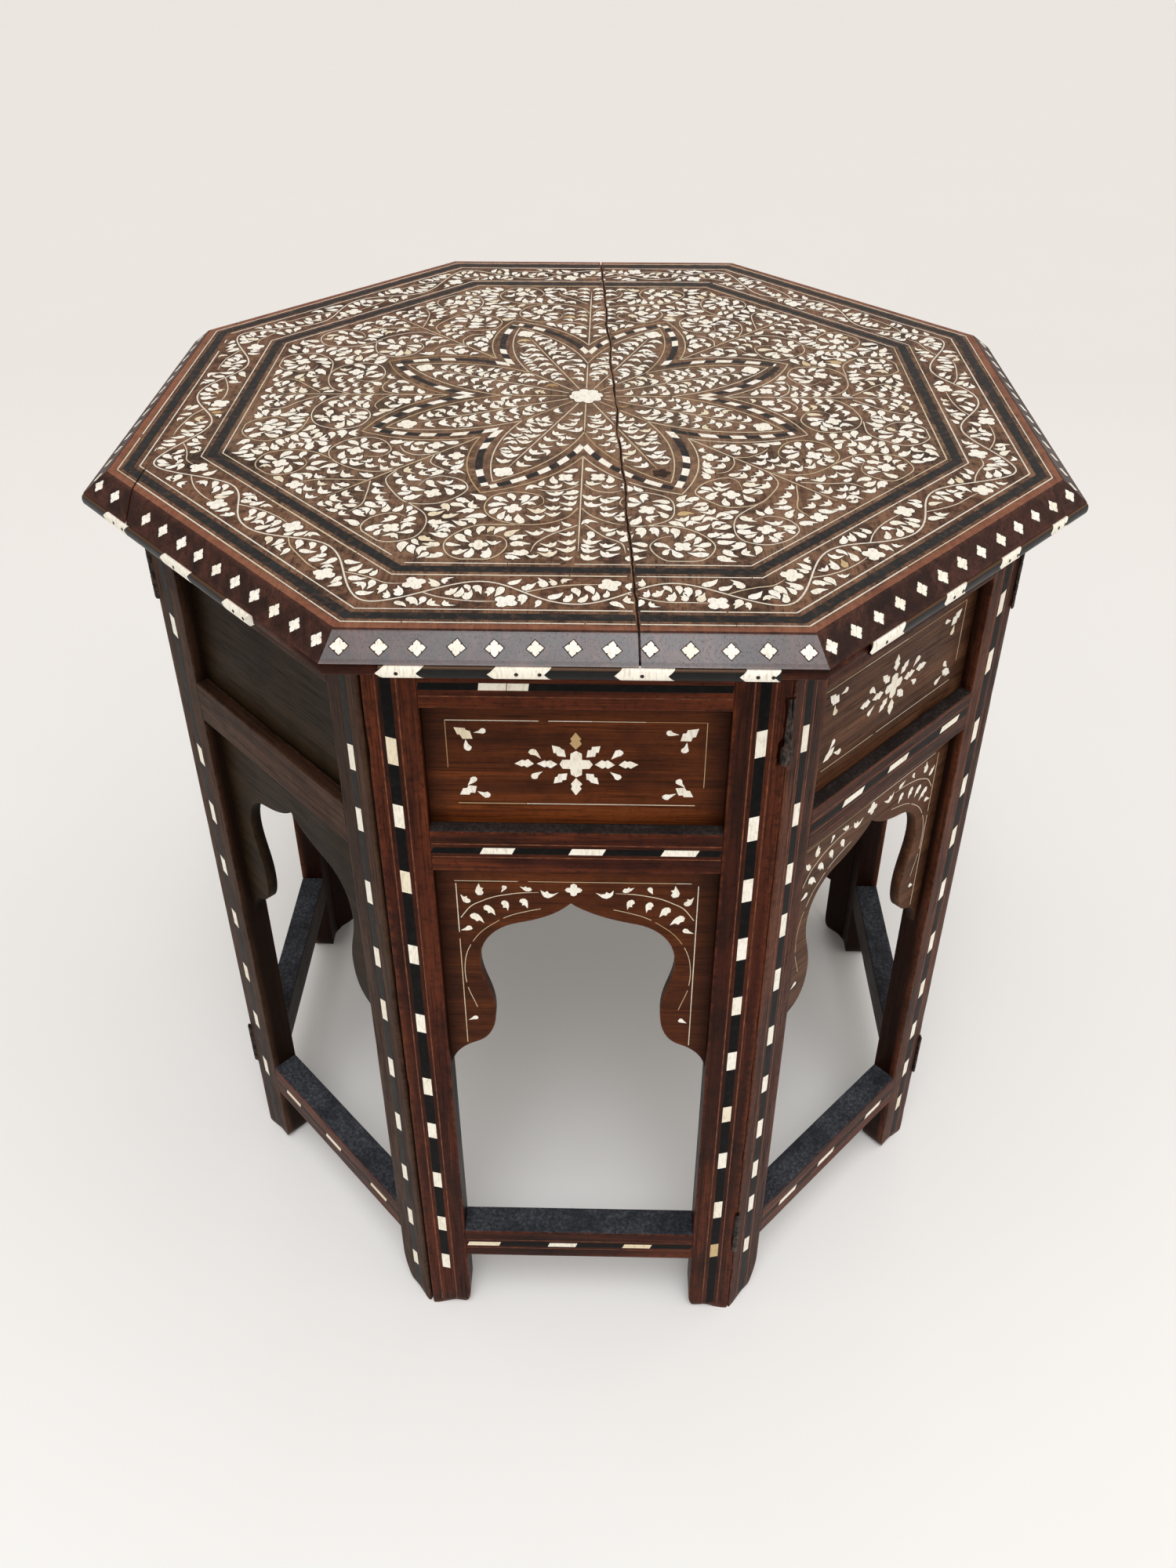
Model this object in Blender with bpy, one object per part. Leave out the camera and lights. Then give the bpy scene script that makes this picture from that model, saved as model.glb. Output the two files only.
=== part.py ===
"""Octagonal side table: a lift-off boarded top on a ring of eight hinged, framed leaves.

Metres, +Z up. The floor is z = 0 and the table stands on the middle of its eight corners' ring.
The front leaf faces -Y. Seen from above the leaves follow each other counter-clockwise.
"""
import math

import bmesh
import bpy
from mathutils import Matrix, Vector

# ---------------------------------------------------------------- driving sizes
HEIGHT = 0.635            # floor to top surface
TOP_FLATS = 0.610         # top, across flats
TOP_THICK = 0.020
BEVEL_DROP = 0.0121       # bevelled rim: fall ...
BEVEL_RUN = 0.0145        # ... over this width
BAND_DEEP = 0.0035        # ebony edge band, depth into the rim
CRACK = 0.0012            # open joint between boards of the top

BASE_FLATS = 0.554        # ring of leaves, across flats
FRAME_T = 0.020           # thickness of the leaf frames
STILE_IN = 0.0837         # stile inner edge from the leaf's middle
BASE_TOP = HEIGHT - TOP_THICK - 0.0003

HEAD_LOW = 0.5754         # head rail, lower edge
MID_LOW, MID_HIGH = 0.4576, 0.4881
STRETCH_LOW, STRETCH_HIGH = 0.0655, 0.0960
BOARD_V0, BOARD_V1 = 0.0090, 0.0170   # board, depth behind the leaf's face
TONGUE = 0.0045           # board edge let into the stiles
SPANDREL_FOOT = 0.2700    # where the arch meets the stiles

GAP = 0.0003              # fit between touching pieces
MITRE_GAP = 0.0002        # each mitre is held back this far from the corner plane

PIN_PROUD = 0.0015        # hinge axis stands off the arris
BARREL_R = 0.0025
FLAP_T = 0.0012
FLAP_REACH = 0.0150       # from the axis into the mitre
HINGES_Z = ((0.078, 0.123), (0.540, 0.585))   # lower and upper hinge

LEAVES = ("front", "front_right", "right", "back_right",
          "back", "back_left", "left", "front_left")
# Corner k lies left of leaf k. These two are hinged inside, the rest outside.
INSIDE_CORNERS = (0, 4)

T225 = math.tan(math.radians(22.5))
C225 = math.cos(math.radians(22.5))
S225 = math.sin(math.radians(22.5))
APOTHEM = BASE_FLATS / 2
HALF = APOTHEM * T225     # half the width of a leaf, outside

# ---------------------------------------------------------------- clean start
for old in list(bpy.data.objects):
    bpy.data.objects.remove(old, do_unlink=True)


def material(name, colour, rough, metal=0.0):
    m = bpy.data.materials.new(name)
    m.use_nodes = True
    b = m.node_tree.nodes["Principled BSDF"]
    b.inputs["Base Color"].default_value = (*colour, 1.0)
    b.inputs["Roughness"].default_value = rough
    b.inputs["Metallic"].default_value = metal
    return m


def wood(name):
    return material(name, (0.085, 0.032, 0.017), 0.42)


def new_object(name, bm, mat, parent=None, location=(0, 0, 0)):
    bmesh.ops.recalc_face_normals(bm, faces=bm.faces)
    me = bpy.data.meshes.new(name)
    bm.to_mesh(me)
    bm.free()
    ob = bpy.data.objects.new(name, me)
    bpy.context.scene.collection.objects.link(ob)
    if mat is not None:
        me.materials.append(mat)
    ob.parent = parent
    ob.location = location
    return ob


def prism(bm, outline, axis, low, high):
    """Closed prism: outline points are (u, w); axis is the extruded coordinate (1 = depth, 2 = height)."""
    def at(p, t):
        return (p[0], t, p[1]) if axis == 1 else (p[0], p[1], t)
    a = [bm.verts.new(at(p, low)) for p in outline]
    b = [bm.verts.new(at(p, high)) for p in outline]
    n = len(outline)
    bm.faces.new(a)
    bm.faces.new(list(reversed(b)))
    for i in range(n):
        j = (i + 1) % n
        bm.faces.new((a[i], b[i], b[j], a[j]))


def box(bm, u0, u1, v0, v1, z0, z1):
    prism(bm, [(u0, v0), (u1, v0), (u1, v1), (u0, v1)], 2, z0, z1)


def boolean(ob, other, operation):
    mod = ob.modifiers.new(operation.lower(), "BOOLEAN")
    mod.operation = operation
    mod.solver = "EXACT"
    mod.object = other
    other.hide_render = True
    other.display_type = "WIRE"


def octagon(apothem):
    r = apothem / C225
    return [(r * math.cos(math.radians(22.5 + 45 * i)), r * math.sin(math.radians(22.5 + 45 * i)))
            for i in range(8)]


# ---------------------------------------------------------------- hinge geometry, in a leaf's plan
def corner_axis(side, inside):
    """Hinge axis in the leaf's plan (u, v) at its left (-1) or right (+1) corner."""
    if inside:
        s = FRAME_T / C225 + PIN_PROUD
    else:
        s = -PIN_PROUD
    return (side * (HALF - s * S225), s * C225)


def hinge_outline(inside, radius, w0, w1, reach, steps=14):
    """Plan outline at the left corner: a round barrel with a flap reaching into the mitre.

    w runs square to the mitre into the leaf, s along the mitre away from the axis."""
    au, av = corner_axis(-1, inside)
    sgn = -1.0 if inside else 1.0
    pts = []
    a0 = math.asin(w1 / radius) if w1 < radius else math.pi / 2
    a1 = 2 * math.pi + math.asin(w0 / radius)
    for i in range(steps + 1):
        a = a0 + (a1 - a0) * i / steps
        pts.append((radius * math.cos(a), radius * math.sin(a)))
    pts += [(reach, w0), (reach, w1)]
    return [(au + sgn * s * S225 + w * C225, av + sgn * s * C225 - w * S225) for s, w in pts]


# ---------------------------------------------------------------- cusped arch of the spandrel
def bezier(p0, p1, p2, p3, n):
    out = []
    for i in range(1, n + 1):
        t = i / n
        k = 1 - t
        out.append(tuple(k ** 3 * a + 3 * k * k * t * b + 3 * k * t * t * c + t ** 3 * d
                         for a, b, c, d in zip(p0, p1, p2, p3)))
    return out


def half_arch():
    """Right half of the arch from the apex out to the stile, (u, z)."""
    apex = (0.0, 0.4230)
    crown = (0.0355, 0.4062)
    shoulder = (0.0605, 0.3720)
    lobe = (0.0527, 0.3260)
    cusp = (0.0665, 0.2960)
    foot = (STILE_IN, SPANDREL_FOOT)
    pts = [apex]
    pts += bezier(apex, (0.008, 0.4150), (0.021, 0.4094), crown, 4)
    pts += bezier(crown, (0.049, 0.4030), (shoulder[0], 0.3920), shoulder, 5)
    pts += bezier(shoulder, (shoulder[0], 0.3550), (lobe[0], 0.3450), lobe, 5)
    pts += bezier(lobe, (lobe[0], 0.3105), (0.0570, 0.3000), cusp, 5)
    pts += bezier(cusp, (0.0760, 0.2920), (foot[0], 0.2830), foot, 4)
    return pts


# ---------------------------------------------------------------- one leaf of the base
def stile(name, side, own_inside, far_inside, parent, loc):
    """side -1: left stile, which holds the hinge flaps; +1: right stile, notched for the barrels."""
    g = MITRE_GAP / C225
    bm = bmesh.new()
    prism(bm, [(side * STILE_IN, 0.0), (side * (HALF - g), 0.0),
               (side * (HALF - FRAME_T * T225 - g), FRAME_T), (side * STILE_IN, FRAME_T)],
          2, 0.0, BASE_TOP)
    ob = new_object(name, bm, wood(name), parent, loc)

    cut = bmesh.new()
    e = 0.001
    # groove for the board, open at the top
    a, b = side * (STILE_IN - e), side * (STILE_IN + TONGUE + GAP)
    box(cut, min(a, b), max(a, b), BOARD_V0 - GAP, BOARD_V1 + GAP, SPANDREL_FOOT - 0.0010, BASE_TOP + e)
    # mortises for the middle rail's and the stretcher's tenons
    b = side * (STILE_IN + 0.0060)
    box(cut, min(a, b), max(a, b), 0.0022, 0.0068, MID_LOW + 0.0047, MID_HIGH - 0.0047)
    b = side * (STILE_IN + 0.0100)
    box(cut, min(a, b), max(a, b), 0.0057, 0.0143, STRETCH_LOW + 0.0047, STRETCH_HIGH - 0.0047)
    # seats for the hinges
    inside = own_inside if side < 0 else far_inside
    flap = hinge_outline(inside, BARREL_R + 0.0004, -0.0010, FLAP_T + 0.0006, FLAP_REACH + 0.0005)
    bare = hinge_outline(inside, BARREL_R + 0.0004, -0.0010, 0.0001, 0.0033)
    for z0, z1 in HINGES_Z:
        if side < 0:
            prism(cut, flap, 2, z0 - 0.0004, z1 + 0.0004)
        else:
            prism(cut, [(-u, v) for u, v in reversed(bare)], 2, z0 - 0.0004, z1 + 0.0004)
    cutter = new_object(name + "_cut", cut, None, parent, loc)
    boolean(ob, cutter, "DIFFERENCE")
    return ob


def rail(name, z0, z1, v1, tenon_v, tenon_len, parent, loc):
    bm = bmesh.new()
    box(bm, -STILE_IN + GAP, STILE_IN - GAP, 0.0, v1, z0, z1)
    ob = new_object(name, bm, wood(name), parent, loc)
    tb = bmesh.new()
    box(tb, -STILE_IN - tenon_len, STILE_IN + tenon_len, tenon_v[0], tenon_v[1], z0 + 0.0050, z1 - 0.0050)
    tenon = new_object(name + "_tenon", tb, None, parent, loc)
    boolean(ob, tenon, "UNION")
    return ob


def arched_panel(name, parent, loc):
    """Board of a leaf: recessed field above, cusped arch below, with the head rail across its top."""
    w = STILE_IN + TONGUE
    right = half_arch()
    outline = [(-w, BASE_TOP), (-w, SPANDREL_FOOT)]
    outline += [(-u, z) for u, z in reversed(right)]
    outline += right[1:]
    outline += [(w, SPANDREL_FOOT), (w, BASE_TOP)]
    bm = bmesh.new()
    prism(bm, outline, 1, BOARD_V0, BOARD_V1)
    ob = new_object(name, bm, wood(name), parent, loc)
    hb = bmesh.new()
    box(hb, -STILE_IN + GAP, STILE_IN - GAP, 0.0, BOARD_V0 + 0.004, HEAD_LOW, BASE_TOP)
    head = new_object(name + "_head", hb, None, parent, loc)
    boolean(ob, head, "UNION")
    return ob


def hinge(name, inside, z0, z1, parent, loc):
    bm = bmesh.new()
    prism(bm, hinge_outline(inside, BARREL_R, 0.0003, 0.0003 + FLAP_T, FLAP_REACH), 2, z0, z1)
    return new_object(name, bm, material(name, (0.045, 0.040, 0.036), 0.55, 1.0), parent, loc)


def leaf_matrix(k):
    a = math.radians(-90 + 45 * k)
    return Matrix.Translation((APOTHEM * math.cos(a), APOTHEM * math.sin(a), 0)) @ \
        Matrix.Rotation(a + math.pi / 2, 4, "Z")


def joint_axis(k):
    """World point on the axis on which leaf k turns; the front leaf carries the others."""
    if k == 0:
        return leaf_matrix(0).translation
    if k <= 3:
        u, v = corner_axis(-1, k in INSIDE_CORNERS)
    else:
        u, v = corner_axis(1, (k + 1) % 8 in INSIDE_CORNERS)
    return leaf_matrix(k) @ Vector((u, v, 0))


for k, leaf in enumerate(LEAVES):
    frame = leaf_matrix(k)
    hub = bpy.data.objects.new(leaf + "_leaf_pivot", None)
    bpy.context.scene.collection.objects.link(hub)
    hub.location = joint_axis(k)
    hub.rotation_euler = (0, 0, math.radians(45 * k))
    loc = Matrix.Rotation(math.radians(-45 * k), 3, "Z") @ (frame.translation - hub.location)

    own, far = k in INSIDE_CORNERS, (k + 1) % 8 in INSIDE_CORNERS
    stile(leaf + "_leaf_left_stile", -1, own, far, hub, loc)
    stile(leaf + "_leaf_right_stile", 1, own, far, hub, loc)
    rail(leaf + "_leaf_middle_rail", MID_LOW, MID_HIGH, BOARD_V0 - GAP, (0.0025, 0.0065), 0.0055, hub, loc)
    rail(leaf + "_leaf_stretcher", STRETCH_LOW, STRETCH_HIGH, FRAME_T, (0.0060, 0.0140), 0.0095, hub, loc)
    arched_panel(leaf + "_leaf_arched_panel", hub, loc)
    for (z0, z1), level in zip(HINGES_Z, ("lower", "upper")):
        hinge(leaf + "_leaf_" + level + "_hinge", own, z0, z1, hub, loc)

# ---------------------------------------------------------------- top
top_hub = bpy.data.objects.new("top_pivot", None)
bpy.context.scene.collection.objects.link(top_hub)
top_hub.location = (0, 0, HEIGHT - TOP_THICK)


def top_slab():
    """Octagonal slab with a bevelled rim, rebated below the bevel for the edge band."""
    a = TOP_FLATS / 2
    rebate = a - BAND_DEEP - GAP
    drop = TOP_THICK - BEVEL_DROP
    rings = ((rebate, 0.0), (rebate, drop), (a, drop), (a - BEVEL_RUN, TOP_THICK))
    bm = bmesh.new()
    loops = [[bm.verts.new((x, y, z)) for x, y in octagon(ap)] for ap, z in rings]
    bm.faces.new(list(reversed(loops[0])))
    bm.faces.new(loops[-1])
    for low, high in zip(loops, loops[1:]):
        for i in range(8):
            j = (i + 1) % 8
            bm.faces.new((low[i], low[j], high[j], high[i]))
    return bm


def split(bm, x_front, x_back, keep_right):
    """Keep one side of the upright joint plane that runs from front to back of the top."""
    y = TOP_FLATS / 2
    line = Vector((x_back - x_front, 2 * y, 0)).normalized()
    normal = Vector((line.y, -line.x, 0))
    off = normal * (CRACK / 2 if keep_right else -CRACK / 2)
    cut = bmesh.ops.bisect_plane(bm, geom=bm.verts[:] + bm.edges[:] + bm.faces[:],
                                 plane_co=Vector((x_front, -y, 0)) + off, plane_no=normal,
                                 clear_inner=keep_right, clear_outer=not keep_right)
    edges = [g for g in cut["geom_cut"] if isinstance(g, bmesh.types.BMEdge)]
    bmesh.ops.contextual_create(bm, geom=edges)


MAIN_JOINT = (0.0330, 0.0060)      # x at the front and at the back edge
LEFT_JOINT = (-0.2640, -0.2760)

slab = top_slab()
split(slab, *MAIN_JOINT, True)
new_object("top_right_board", slab, wood("top_right_board"), top_hub)
slab = top_slab()
split(slab, *MAIN_JOINT, False)
split(slab, *LEFT_JOINT, True)
new_object("top_middle_board", slab, wood("top_middle_board"), top_hub)
slab = top_slab()
split(slab, *LEFT_JOINT, False)
new_object("top_left_board", slab, wood("top_left_board"), top_hub)

band = bmesh.new()
a = TOP_FLATS / 2
z_low, z_high = GAP, TOP_THICK - BEVEL_DROP - GAP
loops = [[band.verts.new((x, y, z)) for x, y in octagon(ap)]
         for ap, z in ((a, z_low), (a, z_high), (a - BAND_DEEP, z_high), (a - BAND_DEEP, z_low))]
for low, high in zip(loops, loops[1:] + loops[:1]):
    for i in range(8):
        j = (i + 1) % 8
        band.faces.new((low[i], low[j], high[j], high[i]))
new_object("top_edge_band", band, material("top_edge_band", (0.012, 0.011, 0.011), 0.35), top_hub)
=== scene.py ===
"""Looks of the inlaid octagonal side table: worn shisham frames, bone and ebony inlay, iron hinges.

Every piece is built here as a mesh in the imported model's frame (metres, +Z up) and rides on its body.
"""
import math
import random

import bpy
import numpy as np
from mathutils import Matrix, Vector, noise


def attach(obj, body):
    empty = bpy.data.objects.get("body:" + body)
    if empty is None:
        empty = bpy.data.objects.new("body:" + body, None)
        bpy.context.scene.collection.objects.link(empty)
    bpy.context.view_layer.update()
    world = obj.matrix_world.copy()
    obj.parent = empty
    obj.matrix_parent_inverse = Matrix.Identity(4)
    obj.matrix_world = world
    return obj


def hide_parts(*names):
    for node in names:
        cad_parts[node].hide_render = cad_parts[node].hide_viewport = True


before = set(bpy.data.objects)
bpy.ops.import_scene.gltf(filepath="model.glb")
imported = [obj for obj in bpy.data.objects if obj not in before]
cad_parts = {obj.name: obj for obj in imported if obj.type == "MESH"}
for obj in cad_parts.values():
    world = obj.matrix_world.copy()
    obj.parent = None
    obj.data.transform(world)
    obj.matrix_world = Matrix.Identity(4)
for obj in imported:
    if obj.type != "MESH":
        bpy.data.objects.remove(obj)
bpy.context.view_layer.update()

# ---------------------------------------------------------------- sizes, as in the construction
HEIGHT, TOP_FLATS, TOP_THICK = 0.635, 0.610, 0.020
BEVEL_DROP, BEVEL_RUN, BAND_DEEP, CRACK = 0.0121, 0.0145, 0.0035, 0.0012
BASE_FLATS, FRAME_T, STILE_IN = 0.554, 0.020, 0.0837
BASE_TOP = HEIGHT - TOP_THICK - 0.0003
HEAD_LOW = 0.5754
MID_LOW, MID_HIGH = 0.4576, 0.4881
STRETCH_LOW, STRETCH_HIGH = 0.0655, 0.0960
BOARD_V0, BOARD_V1, TONGUE, SPANDREL_FOOT = 0.0090, 0.0170, 0.0045, 0.2700
GAP, MITRE_GAP = 0.0003, 0.0002
PIN_PROUD, BARREL_R, FLAP_T, FLAP_REACH = 0.0015, 0.0025, 0.0012, 0.0150
HINGES_Z = ((0.078, 0.123), (0.540, 0.585))
LEAVES = ("front", "front_right", "right", "back_right", "back", "back_left", "left", "front_left")
INSIDE_CORNERS = (0, 4)
T225, C225, S225 = (f(math.radians(22.5)) for f in (math.tan, math.cos, math.sin))
APOTHEM = BASE_FLATS / 2
HALF = APOTHEM * T225
MAIN_JOINT, LEFT_JOINT = (0.0330, 0.0060), (-0.2640, -0.2760)
MM = 0.001

rng = random.Random(20417)


def leaf_matrix(k):
    a = math.radians(-90 + 45 * k)
    return Matrix.Translation((APOTHEM * math.cos(a), APOTHEM * math.sin(a), 0)) @ \
        Matrix.Rotation(a + math.pi / 2, 4, "Z")


# ---------------------------------------------------------------- mesh collecting
class Build:
    """Vertices, faces and two painted values (tone, wear) of one piece."""

    def __init__(self):
        self.v, self.f, self.tone, self.wear, self.n = [], [], [], [], 0

    def add(self, verts, faces, tone=0.5, wear=0.0):
        o = self.n
        self.v.extend(verts)
        self.f.extend([tuple(i + o for i in f) for f in faces])
        self.tone.extend([tone] * len(verts))
        self.wear.extend(wear if isinstance(wear, list) else [wear] * len(verts))
        self.n += len(verts)

    def loft(self, rings, tone=0.5, wears=None, closed=True):
        """Skin over rings of equal length; the ends are capped unless the rings form a closed circuit."""
        n, o = len(rings[0]), self.n
        faces = []
        m = len(rings)
        for r in range(m if not closed else m - 1):
            a, b = r * n, ((r + 1) % m) * n
            for i in range(n):
                j = (i + 1) % n
                faces.append((a + i, a + j, b + j, b + i))
        if closed:
            faces.append(tuple(reversed(range(n))))
            faces.append(tuple((m - 1) * n + i for i in range(n)))
        verts = [p for ring in rings for p in ring]
        self.add(verts, faces, tone, [w for ws in wears for w in ws] if wears else 0.0)

    def make(self, name, mat, slot, body, matrix=None, replaces=None, smooth=None, seed=None):
        me = bpy.data.meshes.new(name)
        me.from_pydata(self.v, [], self.f)
        s = rng.random() if seed is None else seed
        for key, data in (("tone", self.tone), ("wear", self.wear), ("seed", [s] * len(self.v))):
            at = me.attributes.new(key, "FLOAT", "POINT")
            at.data.foreach_set("value", np.asarray(data, dtype=np.float32))
        if smooth is not None:
            me.shade_smooth()
            me.set_sharp_from_angle(angle=math.radians(smooth))
            for face in me.polygons:
                if len(face.vertices) > 4:
                    face.use_smooth = False
        me.materials.append(mat)
        ob = bpy.data.objects.new(name, me)
        bpy.context.scene.collection.objects.link(ob)
        if matrix is not None:
            ob.matrix_world = matrix
        bpy.context.view_layer.update()
        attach(ob, body)
        if replaces:
            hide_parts(*replaces)
        return ob


def fillet(p0, p, p1, r, n):
    """Points of a rounded corner at p between p0 and p1."""
    p0, p, p1 = Vector(p0), Vector(p), Vector(p1)
    d0, d1 = (p0 - p).normalized(), (p1 - p).normalized()
    ang = d0.angle(d1)
    t = r / math.tan(ang / 2)
    c = p + (d0 + d1).normalized() * (r / math.sin(ang / 2))
    a, b = p + d0 * t - c, p + d1 * t - c
    sweep = math.pi - ang
    out = []
    for i in range(n):
        f = i / (n - 1)
        k0, k1 = math.sin((1 - f) * sweep) / math.sin(sweep), math.sin(f * sweep) / math.sin(sweep)
        q = c + a * k0 + b * k1
        out.append((q.x, q.y))
    return out


def lerp(a, b, t):
    return tuple(x + (y - x) * t for x, y in zip(a, b))


def wob(x, y, z, scale, amp):
    return noise.noise(Vector((x * scale, y * scale, z * scale))) * amp


# ---------------------------------------------------------------- materials
def lin(r, g, b):
    def f(c):
        c /= 255.0
        return c / 12.92 if c <= 0.04045 else ((c + 0.055) / 1.055) ** 2.4
    return (f(r), f(g), f(b), 1.0)


class Shade:
    """Small helper around one material's node tree."""

    def __init__(self, name):
        self.m = bpy.data.materials.new(name)
        self.m.use_nodes = True
        self.t = self.m.node_tree
        self.b = self.t.nodes["Principled BSDF"]
        self.raw = self.node("ShaderNodeTexCoord").outputs["Object"]

    def node(self, kind, **kw):
        n = self.t.nodes.new(kind)
        for k, v in kw.items():
            setattr(n, k, v)
        return n

    def put(self, sock, val):
        if isinstance(val, bpy.types.NodeSocket):
            self.t.links.new(val, sock)
        else:
            sock.default_value = val

    def attr(self, name):
        return self.node("ShaderNodeAttribute", attribute_name=name).outputs["Fac"]

    def coords(self, scale, spread=3.0):
        """Object coordinates stretched by scale and moved by the piece's own seed."""
        s = self.node("ShaderNodeVectorMath", operation="SCALE")
        s.inputs[0].default_value = (spread, spread * 1.7, spread * 2.3)
        self.put(s.inputs["Scale"], self.attr("seed"))
        a = self.node("ShaderNodeVectorMath", operation="ADD")
        self.put(a.inputs[0], self.raw)
        self.put(a.inputs[1], s.outputs[0])
        m = self.node("ShaderNodeVectorMath", operation="MULTIPLY")
        self.put(m.inputs[0], a.outputs[0])
        m.inputs[1].default_value = scale
        return m.outputs[0]

    def noise(self, vec, scale, detail=3.0, rough=0.55, dist=0.0):
        n = self.node("ShaderNodeTexNoise")
        self.put(n.inputs["Vector"], vec)
        n.inputs["Scale"].default_value = scale
        n.inputs["Detail"].default_value = detail
        n.inputs["Roughness"].default_value = rough
        n.inputs["Distortion"].default_value = dist
        return n.outputs["Fac"]

    def ramp(self, fac, stops, interp="LINEAR"):
        n = self.node("ShaderNodeValToRGB")
        self.put(n.inputs["Fac"], fac)
        n.color_ramp.interpolation = interp
        el = n.color_ramp.elements
        while len(el) > 1:
            el.remove(el[-1])
        for i, (pos, col) in enumerate(stops):
            e = el[0] if i == 0 else el.new(pos)
            e.position = pos
            e.color = col if isinstance(col, tuple) else (col, col, col, 1.0)
        return n.outputs["Color"]

    def mix(self, fac, a, b, mode="MIX"):
        n = self.node("ShaderNodeMix", data_type="RGBA", blend_type=mode)
        self.put(n.inputs[0], fac)
        self.put(n.inputs[6], a)
        self.put(n.inputs[7], b)
        return n.outputs[2]

    def math(self, op, a, b=0.0, clamp=False):
        n = self.node("ShaderNodeMath", operation=op, use_clamp=clamp)
        self.put(n.inputs[0], a)
        self.put(n.inputs[1], b)
        return n.outputs[0]

    def up(self, low, high):
        """0 on walls, 1 on faces that look up."""
        g = self.node("ShaderNodeNewGeometry")
        s = self.node("ShaderNodeSeparateXYZ")
        self.put(s.inputs[0], g.outputs["True Normal"])
        n = self.node("ShaderNodeMapRange")
        self.put(n.inputs["Value"], s.outputs["Z"])
        n.inputs["From Min"].default_value = low
        n.inputs["From Max"].default_value = high
        return n.outputs["Result"]

    def bump(self, height, strength, distance):
        n = self.node("ShaderNodeBump")
        self.put(n.inputs["Height"], height)
        n.inputs["Strength"].default_value = strength
        n.inputs["Distance"].default_value = distance
        return n.outputs["Normal"]


STRETCH = {"x": (0.06, 1.0, 1.0), "y": (1.0, 0.06, 1.0), "z": (1.0, 1.0, 0.06)}


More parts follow.
